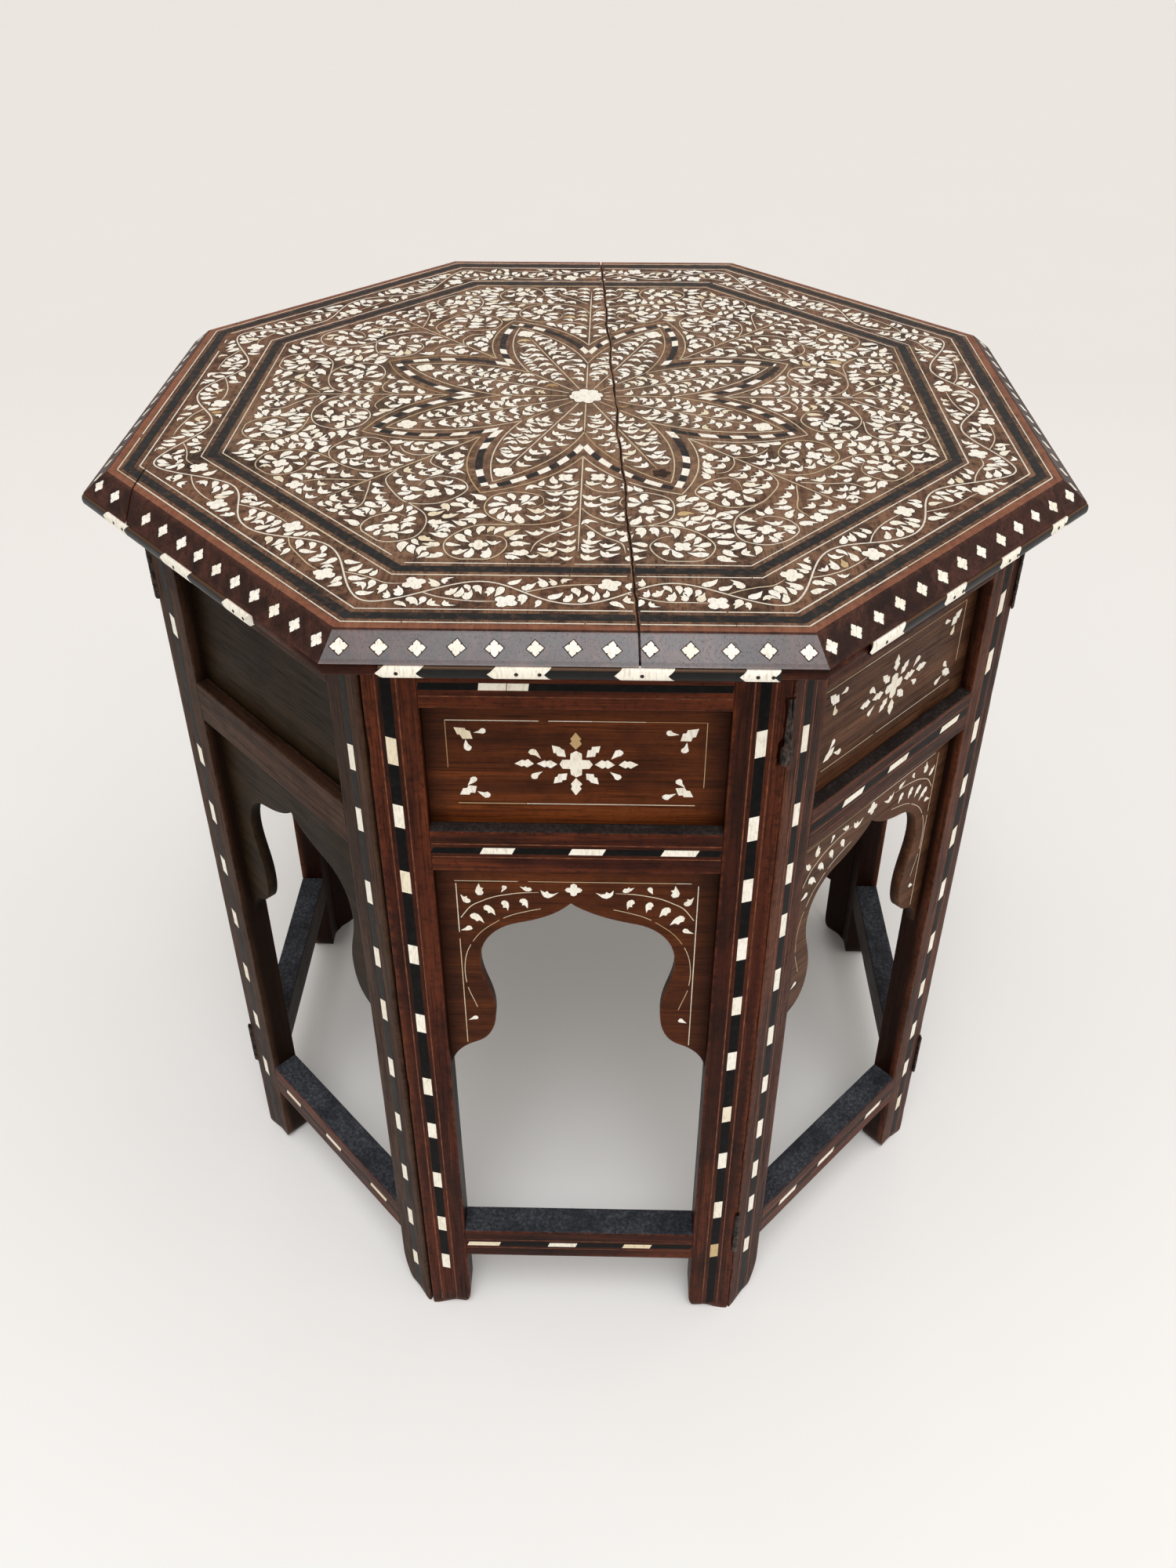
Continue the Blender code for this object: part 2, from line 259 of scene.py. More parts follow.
def wood(name, axis, dark, mid, light, streak, red, rough=0.36, spec=0.5, dusty=None, gloss=0.25, streaky=0.45, mottle=0.55,
         rim=None, painted_shade=(), dirt=0.0, grain=0.35):
    """Old shisham: long grain, darker streaks, open pores, rubbed edges, patchy polish."""
    s = Shade(name)
    v = s.coords(STRETCH[axis])
    fine = tuple(0.35 * c if c < 1 else c for c in STRETCH[axis])
    w = s.coords(fine)
    bands = s.noise(v, 55.0, 4.0, 0.6, 0.9)
    lines = s.noise(w, 420.0, 3.0, 0.6, 0.2)
    pores = s.noise(w, 1500.0, 1.0, 0.5)
    patch = s.noise(s.coords((1, 1, 1)), 11.0, 3.0, 0.6)
    col = s.ramp(bands, [(0.25, dark), (0.46, mid), (0.60, light), (0.75, mid)])
    col = s.mix(s.ramp(lines, [(0.36, 0.60), (0.52, 0.0)]), col, dark)
    col = s.mix(s.ramp(s.noise(v, 23.0, 3.0, 0.6, 1.6), [(0.53, 0.0), (0.70, streaky)]), col, streak)
    col = s.mix(s.ramp(patch, [(0.42, 0.0), (0.70, 0.55)]), col, red)
    pore = s.ramp(pores, [(0.34, 1.0), (0.42, 0.0)])
    col = s.mix(s.math("MULTIPLY", pore, 0.55), col, (dark[0] * 0.35, dark[1] * 0.35, dark[2] * 0.35, 1))
    # wear: rubbed pale arrises broken up by noise, and grime in patches
    rub = s.math("MULTIPLY", s.attr("wear"), s.ramp(s.noise(s.raw, 160.0, 4.0, 0.7), [(0.42, 0.0), (0.62, 0.8)]))
    col = s.mix(rub, col, light)
    grime = s.ramp(s.noise(s.coords((1, 1, 1), 5.0), 26.0, 5.0, 0.65), [(0.50, 0.0), (0.70, mottle)])
    col = s.mix(grime, col, (dark[0] * 0.4, dark[1] * 0.4, dark[2] * 0.4, 1))
    if dirt:
        speck = s.noise(s.coords((1, 1, 1), 7.0), 260.0, 5.0, 0.75)
        col = s.mix(s.ramp(speck, [(0.50, 0.0), (0.66, dirt)]), col, (dark[0] * 0.5, dark[1] * 0.5, dark[2] * 0.5, 1))
    if painted_shade:
        # painted shade, darker where a board meets the frame around it and deeper into the recesses
        xyz = s.node("ShaderNodeSeparateXYZ")
        s.put(xyz.inputs[0], s.raw)
        places = {"u": s.math("ABSOLUTE", xyz.outputs["X"]), "v": xyz.outputs["Y"], "z": xyz.outputs["Z"]}
        for key, r0, r1, fac in painted_shade:
            m = s.node("ShaderNodeMapRange", interpolation_type="SMOOTHSTEP")
            s.put(m.inputs["Value"], s.math("ADD", places[key], s.math("MULTIPLY", s.math("SUBTRACT", patch, 0.5), 0.012 if key != "v" else 0.004)))
            m.inputs["From Min"].default_value = r0
            m.inputs["From Max"].default_value = r1
            m.inputs["To Max"].default_value = fac
            col = s.mix(m.outputs["Result"], col, (dark[0] * 0.45, dark[1] * 0.45, dark[2] * 0.45, 1))
    if rim:
        # the margin outside the banding is redder; the middle of the top is painted paler, a painted sheen
        xyz = s.node("ShaderNodeSeparateXYZ")
        s.put(xyz.inputs[0], s.raw)
        x, y = s.math("ABSOLUTE", xyz.outputs["X"]), s.math("ABSOLUTE", xyz.outputs["Y"])
        ap = s.math("MAXIMUM", s.math("MAXIMUM", x, y), s.math("MULTIPLY", s.math("ADD", x, y), math.sqrt(0.5)))
        ap = s.math("ADD", ap, s.math("MULTIPLY", s.math("SUBTRACT", patch, 0.5), 0.006))
        for r0, r1, fac, tint in rim:
            m = s.node("ShaderNodeMapRange")
            s.put(m.inputs["Value"], ap)
            m.inputs["From Min"].default_value = r0
            m.inputs["From Max"].default_value = r1
            m.inputs["To Max"].default_value = fac
            col = s.mix(m.outputs["Result"], col, s.mix(0.65, col, tint, "MULTIPLY" if 0.22 < r0 < 0.25 else "MIX"))
    ro = s.math("ADD", s.math("MULTIPLY", patch, 0.30), rough - 0.12)
    ro = s.math("ADD", ro, s.math("MULTIPLY", pore, 0.15), True)
    if dusty:
        up = s.up(0.55, 0.9)
        dust = s.ramp(s.noise(s.raw, 420.0, 5.0, 0.75), [(0.36, 0.05), (0.56, 0.34), (0.74, 1.0)])
        dust = s.math("MULTIPLY", dust, s.ramp(s.noise(s.coords((1, 1, 1), 9.0), 38.0, 4.0, 0.7), [(0.36, 0.25), (0.55, 0.8), (0.72, 1.0)]))
        col = s.mix(up, col, s.mix(dust, *dusty))
        ro = s.math("ADD", ro, s.math("MULTIPLY", up, 0.12), True)
    s.put(s.b.inputs["Base Color"], col)
    s.put(s.b.inputs["Roughness"], ro)
    s.b.inputs["Specular IOR Level"].default_value = spec
    s.b.inputs["Coat Weight"].default_value = gloss
    s.b.inputs["Coat Roughness"].default_value = 0.28
    h = s.math("SUBTRACT", s.math("MULTIPLY", lines, 0.6), s.math("MULTIPLY", pore, 0.7))
    h = s.math("ADD", h, s.math("MULTIPLY", patch, 1.2))
    s.put(s.b.inputs["Normal"], s.bump(h, grain, 0.0006))
    return s.m


FRAME_COLOURS = (lin(31, 14, 9), lin(60, 27, 15), lin(104, 50, 26), lin(28, 12, 8), lin(74, 30, 16))
PLAIN_COLOURS = (lin(39, 26, 19), lin(62, 42, 31), lin(80, 57, 43), lin(37, 25, 18), lin(68, 43, 31))
SIDE_COLOURS = (lin(34, 18, 12), lin(66, 36, 24), lin(104, 60, 41), lin(31, 17, 11), lin(80, 42, 28))
LEDGE_DUST, STRETCHER_DUST = (lin(34, 28, 26), lin(92, 85, 82)), (lin(34, 35, 39), lin(112, 115, 122))
# painted shade: uprights and rails darken going back from their front faces; the boards darken towards the uprights and
# back into the groove, the front and side boards also under the head rail, and the front board over its lower spandrel
# below the middle rail
INSIDE = (("v", 0.0014, 0.0070, 0.86),)
M_STILE = wood("wood_frame_upright", "z", *FRAME_COLOURS, spec=0.06, gloss=0.0, dirt=0.55, painted_shade=INSIDE)
M_RAIL = wood("wood_frame_rail", "x", *FRAME_COLOURS, spec=0.06, gloss=0.0, dusty=LEDGE_DUST, dirt=0.55, painted_shade=INSIDE)
M_SIDE_STILE = wood("wood_side_upright", "z", *SIDE_COLOURS, spec=0.05, gloss=0.0, dirt=0.55, painted_shade=INSIDE)
M_SIDE_RAIL = wood("wood_side_rail", "x", *SIDE_COLOURS, spec=0.05, gloss=0.0, dusty=LEDGE_DUST, dirt=0.55, painted_shade=INSIDE)
M_SIDE_BOARD = wood("wood_side_board", "x", lin(48, 29, 18), lin(84, 54, 36), lin(108, 72, 49),
                    lin(46, 28, 18), lin(96, 58, 37), spec=0.06, gloss=0.0, dusty=LEDGE_DUST, streaky=0.3, dirt=0.3,
                    painted_shade=(("u", 0.070, 0.086, 0.7), ("z", 0.560, 0.578, 0.6), ("v", 0.0105, 0.0150, 0.75)))
M_STRETCHER = wood("wood_frame_stretcher", "x", *FRAME_COLOURS, spec=0.06, gloss=0.0, dusty=STRETCHER_DUST, dirt=0.55, painted_shade=INSIDE)
M_BOARD = wood("wood_frame_board", "x", lin(58, 27, 11), lin(90, 44, 18), lin(118, 60, 26),
               lin(56, 27, 12), lin(104, 52, 22), spec=0.06, gloss=0.0, dusty=LEDGE_DUST, streaky=0.3, dirt=0.3,
               painted_shade=(("u", 0.066, 0.086, 0.8), ("z", 0.560, 0.578, 0.7), ("z", 0.470, 0.410, 0.38), ("v", 0.0105, 0.0150, 0.75)))
M_PLAIN = wood("wood_plain_board", "x", lin(28, 20, 13), lin(42, 31, 20), lin(54, 41, 27),
               lin(26, 19, 13), lin(47, 33, 21), spec=0.03, gloss=0.0, streaky=0.25, painted_shade=(("u", 0.070, 0.086, 0.6), ("v", 0.0105, 0.0150, 0.75)))
M_PLAIN_STILE = wood("wood_plain_upright", "z", *PLAIN_COLOURS, spec=0.03, gloss=0.0, streaky=0.3, dirt=0.3, painted_shade=INSIDE)
M_PLAIN_RAIL = wood("wood_plain_rail", "x", *PLAIN_COLOURS, spec=0.03, gloss=0.0, streaky=0.3, dirt=0.3)
# the first rim entry paints the middle of the top paler: a painted sheen
M_TOP = wood("wood_top_boards", "y", lin(38, 26, 19), lin(94, 67, 50), lin(144, 109, 83),
             lin(40, 27, 20), lin(110, 68, 46), rough=0.46, spec=0.2, gloss=0.0, streaky=0.75, mottle=0.8, dirt=0.6,
             rim=((0.200, 0.050, 0.16, lin(182, 152, 124)), (0.232, 0.246, 0.6, lin(220, 186, 168)), (0.2835, 0.2865, 0.72, lin(156, 92, 66))))
BEVEL_COLOURS = (lin(32, 19, 16), lin(52, 31, 25), lin(84, 50, 39), lin(30, 19, 17), lin(66, 35, 28))
M_BEVEL = wood("wood_top_bevel", "y", *BEVEL_COLOURS, rough=0.30, spec=0.42, gloss=0.38, streaky=0.4, dirt=0.4, grain=0.05)
M_BEVEL_DULL = wood("wood_top_bevel_dull", "y", *BEVEL_COLOURS, rough=0.42, spec=0.16, gloss=0.0, streaky=0.4, dirt=0.4, grain=0.15)


def bone():
    """Old bone: cream, fine streaks, some slips stained yellow or brown, dark dirt at their rims."""
    s = Shade("bone_inlay")
    tone = s.attr("tone")
    col = s.ramp(tone, [(0.0, lin(255, 251, 240)), (0.62, lin(250, 243, 225)), (0.80, lin(234, 217, 182)),
                        (0.92, lin(196, 164, 112)), (1.0, lin(150, 112, 68))])
    streak = s.noise(s.coords((1.0, 0.25, 0.25)), 900.0, 2.0, 0.6)
    col = s.mix(s.ramp(streak, [(0.48, 0.0), (0.74, 0.42)]), col, lin(178, 148, 106))
    stain = s.noise(s.coords((1, 1, 1)), 120.0, 4.0, 0.65)
    col = s.mix(s.ramp(stain, [(0.60, 0.0), (0.80, 0.35)]), col, lin(150, 118, 78))
    col = s.mix(s.math("MULTIPLY", s.attr("wear"), 0.55), col, lin(96, 70, 46))
    s.put(s.b.inputs["Base Color"], col)
    s.put(s.b.inputs["Roughness"], s.math("ADD", s.math("MULTIPLY", stain, 0.25), 0.30))
    s.b.inputs["Subsurface Weight"].default_value = 0.0
    s.put(s.b.inputs["Normal"], s.bump(s.math("ADD", streak, stain), 0.12, 0.0003))
    s.b.inputs["Specular IOR Level"].default_value = 0.3
    return s.m


def ebony(name="ebony_inlay", grey=0.22, base=(8, 13, 22), brown=(54, 44, 38), spec=0.05):
    """Blackwood: nearly black, grey where it is rubbed, faint brown grain."""
    s = Shade(name)
    n = s.noise(s.coords((1, 1, 1)), 60.0, 4.0, 0.65)
    g = s.noise(s.coords((0.4, 0.4, 0.4)), 700.0, 3.0, 0.6)
    col = s.ramp(n, [(0.30, lin(*[base[0]] * 3)), (0.55, lin(*[base[1]] * 3)), (0.78, lin(*[base[2]] * 3))])
    col = s.mix(s.ramp(g, [(0.50, 0.0), (0.75, grey)]), col, lin(*brown))
    col = s.mix(s.math("MULTIPLY", s.attr("wear"), 0.6), col, lin(112, 78, 50))
    s.put(s.b.inputs["Base Color"], col)
    s.put(s.b.inputs["Roughness"], s.math("ADD", s.math("MULTIPLY", n, 0.30), 0.26))
    s.b.inputs["Specular IOR Level"].default_value = spec
    s.put(s.b.inputs["Normal"], s.bump(g, 0.22, 0.0004))
    return s.m


def iron():
    """Hand-made hinge iron: dark scale, rust patches, pitting."""
    s = Shade("iron_hinge")
    n = s.noise(s.raw, 180.0, 5.0, 0.7)
    p = s.noise(s.raw, 900.0, 3.0, 0.6)
    col = s.ramp(n, [(0.35, lin(26, 23, 22)), (0.50, lin(50, 44, 40)), (0.60, lin(74, 50, 37)), (0.75, lin(42, 29, 23))])
    s.put(s.b.inputs["Base Color"], col)
    s.put(s.b.inputs["Metallic"], s.ramp(n, [(0.45, 0.85), (0.60, 0.15)]))
    s.put(s.b.inputs["Roughness"], s.math("ADD", s.math("MULTIPLY", p, 0.35), 0.42))
    s.put(s.b.inputs["Normal"], s.bump(s.math("ADD", n, p), 0.5, 0.0006))
    return s.m


def nail_iron():
    """Blackened nail heads."""
    s = Shade("iron_nail")
    n = s.noise(s.raw, 900.0, 3.0, 0.6)
    s.put(s.b.inputs["Base Color"], s.ramp(n, [(0.4, lin(24, 20, 18)), (0.65, lin(64, 50, 36))]))
    s.b.inputs["Roughness"].default_value = 0.6
    s.b.inputs["Specular IOR Level"].default_value = 0.2
    return s.m


def filler():
    """Black mastic that beds the bone, worn to brown in places."""
    s = Shade("mastic_filler")
    n = s.noise(s.raw, 45.0, 4.0, 0.65)
    p = s.noise(s.raw, 600.0, 3.0, 0.6)
    col = s.ramp(n, [(0.38, lin(30, 21, 18)), (0.52, lin(50, 34, 26)), (0.66, lin(78, 53, 39))])
    col = s.mix(s.ramp(p, [(0.5, 0.0), (0.72, 0.45)]), col, lin(96, 70, 54))
    s.put(s.b.inputs["Base Color"], col)
    s.put(s.b.inputs["Roughness"], s.math("ADD", s.math("MULTIPLY", p, 0.3), 0.45))
    s.put(s.b.inputs["Normal"], s.bump(p, 0.3, 0.0003))
    s.b.inputs["Specular IOR Level"].default_value = 0.18
    return s.m


def stringing():
    """Thin stringing of pale wood along the strips, orange-brown under old polish."""
    s = Shade("stringing_wood")
    n = s.noise(s.coords((1, 1, 1)), 140.0, 4.0, 0.65)
    p = s.noise(s.raw, 900.0, 2.0, 0.6)
    col = s.ramp(n, [(0.34, lin(72, 35, 20)), (0.52, lin(106, 55, 29)), (0.72, lin(142, 82, 44))])
    s.put(s.b.inputs["Base Color"], col)
    s.put(s.b.inputs["Roughness"], s.math("ADD", s.math("MULTIPLY", p, 0.25), 0.35))
    s.put(s.b.inputs["Normal"], s.bump(p, 0.2, 0.0003))
    s.b.inputs["Specular IOR Level"].default_value = 0.18
    return s.m


M_BONE, M_EBONY, M_IRON, M_FILL, M_STRING = bone(), ebony(), iron(), filler(), stringing()
M_NAIL = nail_iron()
# painted sheen: the front-left leaf's ebony is lighter and greyer, standing in for the sheen on its strips
M_EBONY_PAINTED_SHEEN = ebony("ebony_painted_sheen", 0.5, (26, 31, 40), (62, 48, 36), 0.05)
M_BAND = ebony("ebony_banding", 0.75, (20, 30, 46), (86, 60, 44), 0.2)
M_EDGE = ebony("ebony_moulding", 0.15, (9, 14, 24), (52, 46, 42), 0.22)

# ---------------------------------------------------------------- camera, floor, light
UNIT = 0.272
pitch, yaw, roll = 0.5825, -0.0200, -0.00018
shift = np.array((-0.00452, -0.58105, 3.26728))
turn = np.array(((math.cos(yaw), -math.sin(yaw), 0), (math.sin(yaw), math.cos(yaw), 0), (0, 0, 1)))
face = np.array(((1, 0, 0), (0, 0, -1), (0, 1, 0)), dtype=float)
tip = np.array(((1, 0, 0), (0, math.cos(pitch), -math.sin(pitch)), (0, math.sin(pitch), math.cos(pitch))))
lean = np.array(((math.cos(roll), -math.sin(roll), 0), (math.sin(roll), math.cos(roll), 0), (0, 0, 1)))
view = lean @ tip @ face @ turn
eye = -view.T @ shift * UNIT + np.array((0, 0, HEIGHT))
cam_data = bpy.data.cameras.new("camera")
cam_data.sensor_width = 36.0
cam_data.lens = 1658.8 / 2000 * 36.0
cam_data.shift_y = -0.1
cam_data.clip_end = 200.0
cam = bpy.data.objects.new("camera", cam_data)
bpy.context.scene.collection.objects.link(cam)
axes = np.eye(4)
axes[:3, 0], axes[:3, 1], axes[:3, 2], axes[:3, 3] = view[0], -view[1], -view[2], eye
cam.matrix_world = Matrix(axes.tolist())
bpy.context.scene.camera = cam
bpy.context.scene.view_settings.view_transform = "Standard"

fm = bpy.data.meshes.new("floor")
fm.from_pydata([(-90, -90, 0), (90, -90, 0), (90, 90, 0), (-90, 90, 0)], [], [(0, 1, 2, 3)])
fs = Shade("studio_floor")
fy = fs.node("ShaderNodeSeparateXYZ")
fs.put(fy.inputs[0], fs.raw)
far = fs.node("ShaderNodeMapRange")
fs.put(far.inputs["Value"], fy.outputs["Y"])
far.inputs["From Min"].default_value = -0.6
far.inputs["From Max"].default_value = 1.6
fcol = fs.ramp(far.outputs["Result"], [(0.0, lin(245, 244, 241)), (1.0, lin(232, 228, 223))])
fcol = fs.mix(fs.ramp(fs.noise(fs.raw, 3.0, 3.0), [(0.4, 0.0), (0.7, 0.06)]), fcol, lin(222, 218, 212))
fs.put(fs.b.inputs["Base Color"], fcol)
# painted light: the floor glows faintly in front of the table, a little more to the right, a pool of light that no lamp
# casts
near = fs.node("ShaderNodeMapRange")
fs.put(near.inputs["Value"], fs.math("SUBTRACT", fs.math("MULTIPLY", fy.outputs["X"], 0.12), fy.outputs["Y"]))
near.interpolation_type = "SMOOTHSTEP"
near.inputs["From Min"].default_value, near.inputs["From Max"].default_value = -0.12, 0.46
near.inputs["To Max"].default_value = 0.08
fs.put(fs.b.inputs["Emission Color"], fcol)
fs.put(fs.b.inputs["Emission Strength"], near.outputs["Result"])
fs.b.inputs["Roughness"].default_value = 0.9
fs.b.inputs["Specular IOR Level"].default_value = 0.1
fm.materials.append(fs.m)
floor = bpy.data.objects.new("floor", fm)
bpy.context.scene.collection.objects.link(floor)

world = bpy.data.worlds.new("studio")
bpy.context.scene.world = world
world.use_nodes = True
wt = world.node_tree
bg = wt.nodes["Background"]
tc = wt.nodes.new("ShaderNodeTexCoord")
sx = wt.nodes.new("ShaderNodeSeparateXYZ")
wt.links.new(tc.outputs["Generated"], sx.inputs[0])


def sky(op, a, b, c=None):
    n = wt.nodes.new("ShaderNodeMath")
    n.operation = op
    for sock, val in zip(n.inputs, (a, b, c)):
        if isinstance(val, bpy.types.NodeSocket):
            wt.links.new(val, sock)
        elif val is not None:
            sock.default_value = val
    return n.outputs[0]


# soft studio sky, a little brighter from the front and the right, with one broad soft panel high in front
height = sky("MULTIPLY_ADD", sx.outputs["Z"], 0.36, 0.43)
height = sky("MULTIPLY_ADD", sx.outputs["Y"], -0.12, height)
height = sky("MULTIPLY_ADD", sx.outputs["X"], 0.18, height)
aim = Vector((0.0, -0.405, 0.909)).normalized()
dot = sky("ADD", sky("MULTIPLY", sx.outputs["Y"], aim.y), sky("MULTIPLY", sx.outputs["Z"], aim.z))
edge = wt.nodes.new("ShaderNodeMapRange")
edge.interpolation_type = "SMOOTHSTEP"
wt.links.new(dot, edge.inputs["Value"])
edge.inputs["From Min"].default_value, edge.inputs["From Max"].default_value = 0.935, 0.985
wide = wt.nodes.new("ShaderNodeMapRange")
wide.interpolation_type = "SMOOTHSTEP"
wt.links.new(sky("ABSOLUTE", sx.outputs["X"], 0.0), wide.inputs["Value"])
wide.inputs["From Min"].default_value, wide.inputs["From Max"].default_value = 0.30, 0.16
panel_light = sky("MULTIPLY", edge.outputs["Result"], wide.outputs["Result"])
tint = wt.nodes.new("ShaderNodeMix")
tint.data_type = "RGBA"
wt.links.new(panel_light, tint.inputs[0])
tint.inputs[6].default_value, tint.inputs[7].default_value = (1.0, 0.965, 0.925, 1.0), (0.955, 0.97, 1.015, 1.0)
wt.links.new(tint.outputs[2], bg.inputs["Color"])
wt.links.new(sky("MULTIPLY_ADD", panel_light, 6.3, height), bg.inputs["Strength"])

# ---------------------------------------------------------------- frames of the eight leaves
def stile_ring(own_left, inside, z, hinge_zone, seed, gape=0.0, torn=0.0):
    """Plan outline (u, v, wear) of a right-hand stile at height z; left ones are mirrored from it."""
    g = (MITRE_GAP + gape) / C225
    a, b = (STILE_IN, 0.0), (HALF - g, 0.0)
    c, d = (HALF - FRAME_T * T225 - g, FRAME_T), (STILE_IN, FRAME_T)
    chip = max(0.0, noise.noise(Vector((z * 45, seed * 31, 0.3)))) ** 2
    rb = (0.8 + 2.2 * chip) * MM + gape
    ra = (0.55 + 1.1 * max(0.0, noise.noise(Vector((z * 38, seed * 17, 4.1)))) ** 2) * MM
    rn = BARREL_R + 0.0004 + max(0.0, noise.noise(Vector((z * 130, seed * 11, 1.7)))) * 1.6 * MM + torn
    along = (-S225, C225)
    into = (-C225, -S225)
    length = FRAME_T / C225
    pts = [(*p, 1.0) for p in fillet(d, a, b, ra, 5)]
    pts += [(a[0] + 2.2 * MM, 0.0, 0.0), (*lerp(a, b, 0.35), 0.0), (*lerp(a, b, 0.65), 0.0),
            (b[0] - max(4.6 * MM, rn + 0.6 * MM if hinge_zone else 0.0), 0.0, 0.0)]
    if hinge_zone and not inside:
        ax, ay = HALF + PIN_PROUD * S225, -PIN_PROUD * C225
        h = math.sqrt(rn * rn - ay * ay)
        a0, a1 = math.atan2(-ay, -h), math.radians(112.5)
        pts += [(ax + rn * math.cos(a0 + (a1 - a0) * i / 6), ay + rn * math.sin(a0 + (a1 - a0) * i / 6), 0.3)
                for i in range(7)]
    else:
        pts += [(*p, 1.0) for p in fillet(a, b, c, rb, 7)]
    seat = FLAP_REACH + 0.0005 - PIN_PROUD
    marks = (2.6 * MM, length - seat - 0.0001, length - seat, length - 2.6 * MM) if inside else \
        (2.6 * MM, seat, seat + 0.0001, length - 2.6 * MM)
    sunk = (2, 3) if inside else (0, 1)
    for i, s in enumerate(marks):
        s = max(s, rn - PIN_PROUD + (0.1 + 0.1 * i) * MM) if hinge_zone and torn else s
        w = 0.0018 if hinge_zone and own_left and i in sunk else 0.0
        pts.append((b[0] + along[0] * s + into[0] * w, b[1] + along[1] * s + into[1] * w, 0.0))
    if hinge_zone and inside:
        s = length + PIN_PROUD
        ax, ay = HALF - s * S225, s * C225
        h = math.sqrt(rn * rn - (ay - FRAME_T) ** 2)
        a0, a1 = math.radians(-67.5), math.atan2(FRAME_T - ay, -h)
        pts += [(ax + rn * math.cos(a0 + (a1 - a0) * i / 6), ay + rn * math.sin(a0 + (a1 - a0) * i / 6), 0.3)
                for i in range(7)]
    else:
        pts += [(*p, 1.0) for p in fillet(b, c, d, 0.6 * MM, 7)]
    pts += [(*lerp(c, d, 0.3), 0.0), (d[0] + 2.2 * MM, d[1], 0.0)]
    pts += [(*p, 1.0) for p in fillet(c, d, a, 0.6 * MM, 5)]
    pts += [(d[0], d[1] - 2.2 * MM, 0.0), (a[0], a[1] + 2.2 * MM, 0.0)]
    return pts


def stile(k, side):
    leaf = LEAVES[k]
    inside = (k if side < 0 else (k + 1) % 8) in INSIDE_CORNERS
    seed = k * 2.0 + (side > 0)
    zs = [(0.0, 4.4), (0.0004, 3.3), (0.0012, 2.2), (0.0026, 1.2), (0.0045, 0.5), (0.0068, 0.12), (0.0090, 0.0)]
    z = 0.0125
    while z < BASE_TOP - 0.004:
        if not any(z0 - 0.003 < z < z1 + 0.003 for z0, z1 in HINGES_Z):
            zs.append((z, 0.0))
        z += 0.0042 if z < 0.036 else 0.0085
    zones = []
    for z0, z1 in HINGES_Z:
        lo, hi = z0 - 0.0004, z1 + 0.0004
        zs += [(lo - 0.0002, 0.0), (hi + 0.0002, 0.0)]
        n = 15
        for i in range(n + 1):
            q = lo + (hi - lo) * i / n
            zs.append((q, 0.0))
            zones.append(q)
    zs += [(BASE_TOP - 0.0008, 0.0), (BASE_TOP - 0.0002, 0.25), (BASE_TOP, 0.7)]
    zs.sort()
    rings, wears = [], []
    cu, cv = side * (STILE_IN + 0.0145), 0.0095
    gape = 0.0006 if (k, side) in ((0, -1), (7, 1)) else 0.0
    for z, inset in zs:
        torn = 0.0
        if (k, side) == (0, 1) and z > 0.5:
            torn = (3.6 if z < 0.5575 else 1.2) * MM * (1.0 + 0.5 * noise.noise(Vector((z * 260, 2.2, 5.1))))
        ring = stile_ring(side < 0, inside, z, z in zones, seed, gape, torn)
        if side < 0:
            ring = [(-u, v, w) for u, v, w in reversed(ring)]
        out = []
        worn, tall = (0.0105, 0.036) if (k, side) in ((7, 1), (1, -1)) else (0.0030, 0.016)
        worn *= max(0.0, 1 - z / tall) ** 2
        for u, v, w in ring:
            u += side * worn * max(0.0, 1 - (abs(u) - STILE_IN) / 0.020)
            if inset:
                ragged = inset * MM * (1 + 0.5 * noise.noise(Vector((u * 90, v * 90, seed))))
                ragged *= min(1.0, max(0.05, 1 - (abs(u) - 0.098) / 0.009))
                d = math.hypot(u - cu, v - cv)
                u, v = u + (cu - u) * ragged / d, v + (cv - v) * ragged / d
            out.append((u, v, z))
        rings.append(out)
        foot = 0.8 if z < 0.006 else 0.0
        wears.append([max(w, foot) for _, _, w in ring])
    b = Build()
    b.loft(rings, wears=wears)
    tag = "left" if side < 0 else "right"
    return b.make(f"{leaf}_{tag}_stile_wood", M_STILE if k == 0 else M_PLAIN_STILE if k == 7 else M_SIDE_STILE, "wood_frame", leaf + "_leaf", leaf_matrix(k),
                  [f"{leaf}_leaf_{tag}_stile"], smooth=38)


def rail_loft(u0, u1, v0, v1, z0, z1, r, seed, n=22):
    """Rounded bar along u with a slightly worn front arris."""
    b = Build()
    rings, wears = [], []
    for i in range(n + 1):
        u = u0 + (u1 - u0) * i / n
        rr = r * (1 + 1.3 * max(0.0, noise.noise(Vector((u * 60, seed, 0.7)))) ** 2)
        c = [(v0, z0), (v1, z0), (v1, z1), (v0, z1)]
        ring = []
        for j in range(4):
            p0, p, p1 = c[j - 1], c[j], c[(j + 1) % 4]
            pts = [(*q, 1.0) for q in fillet(p0, p, p1, rr, 4)]
            d1 = Vector(p1) - Vector(p)
            q = Vector(p) + d1.normalized() * min(2.4 * MM, d1.length * 0.4)
            e = Vector(p1) - d1.normalized() * min(2.4 * MM, d1.length * 0.4)
            ring += pts + [(q.x, q.y, 0.0), (e.x, e.y, 0.0)]
        rings.append([(u, v, z) for v, z, _ in ring])
        wears.append([w for _, _, w in ring])
    b.loft(rings, wears=wears)
    return b


def bezier(p0, p1, p2, p3, n):
    out = []
    for i in range(1, n + 1):
        t = i / n
        k = 1 - t
        out.append(tuple(k ** 3 * a + 3 * k * k * t * b + 3 * k * t * t * c + t ** 3 * d
                         for a, b, c, d in zip(p0, p1, p2, p3)))
    return out


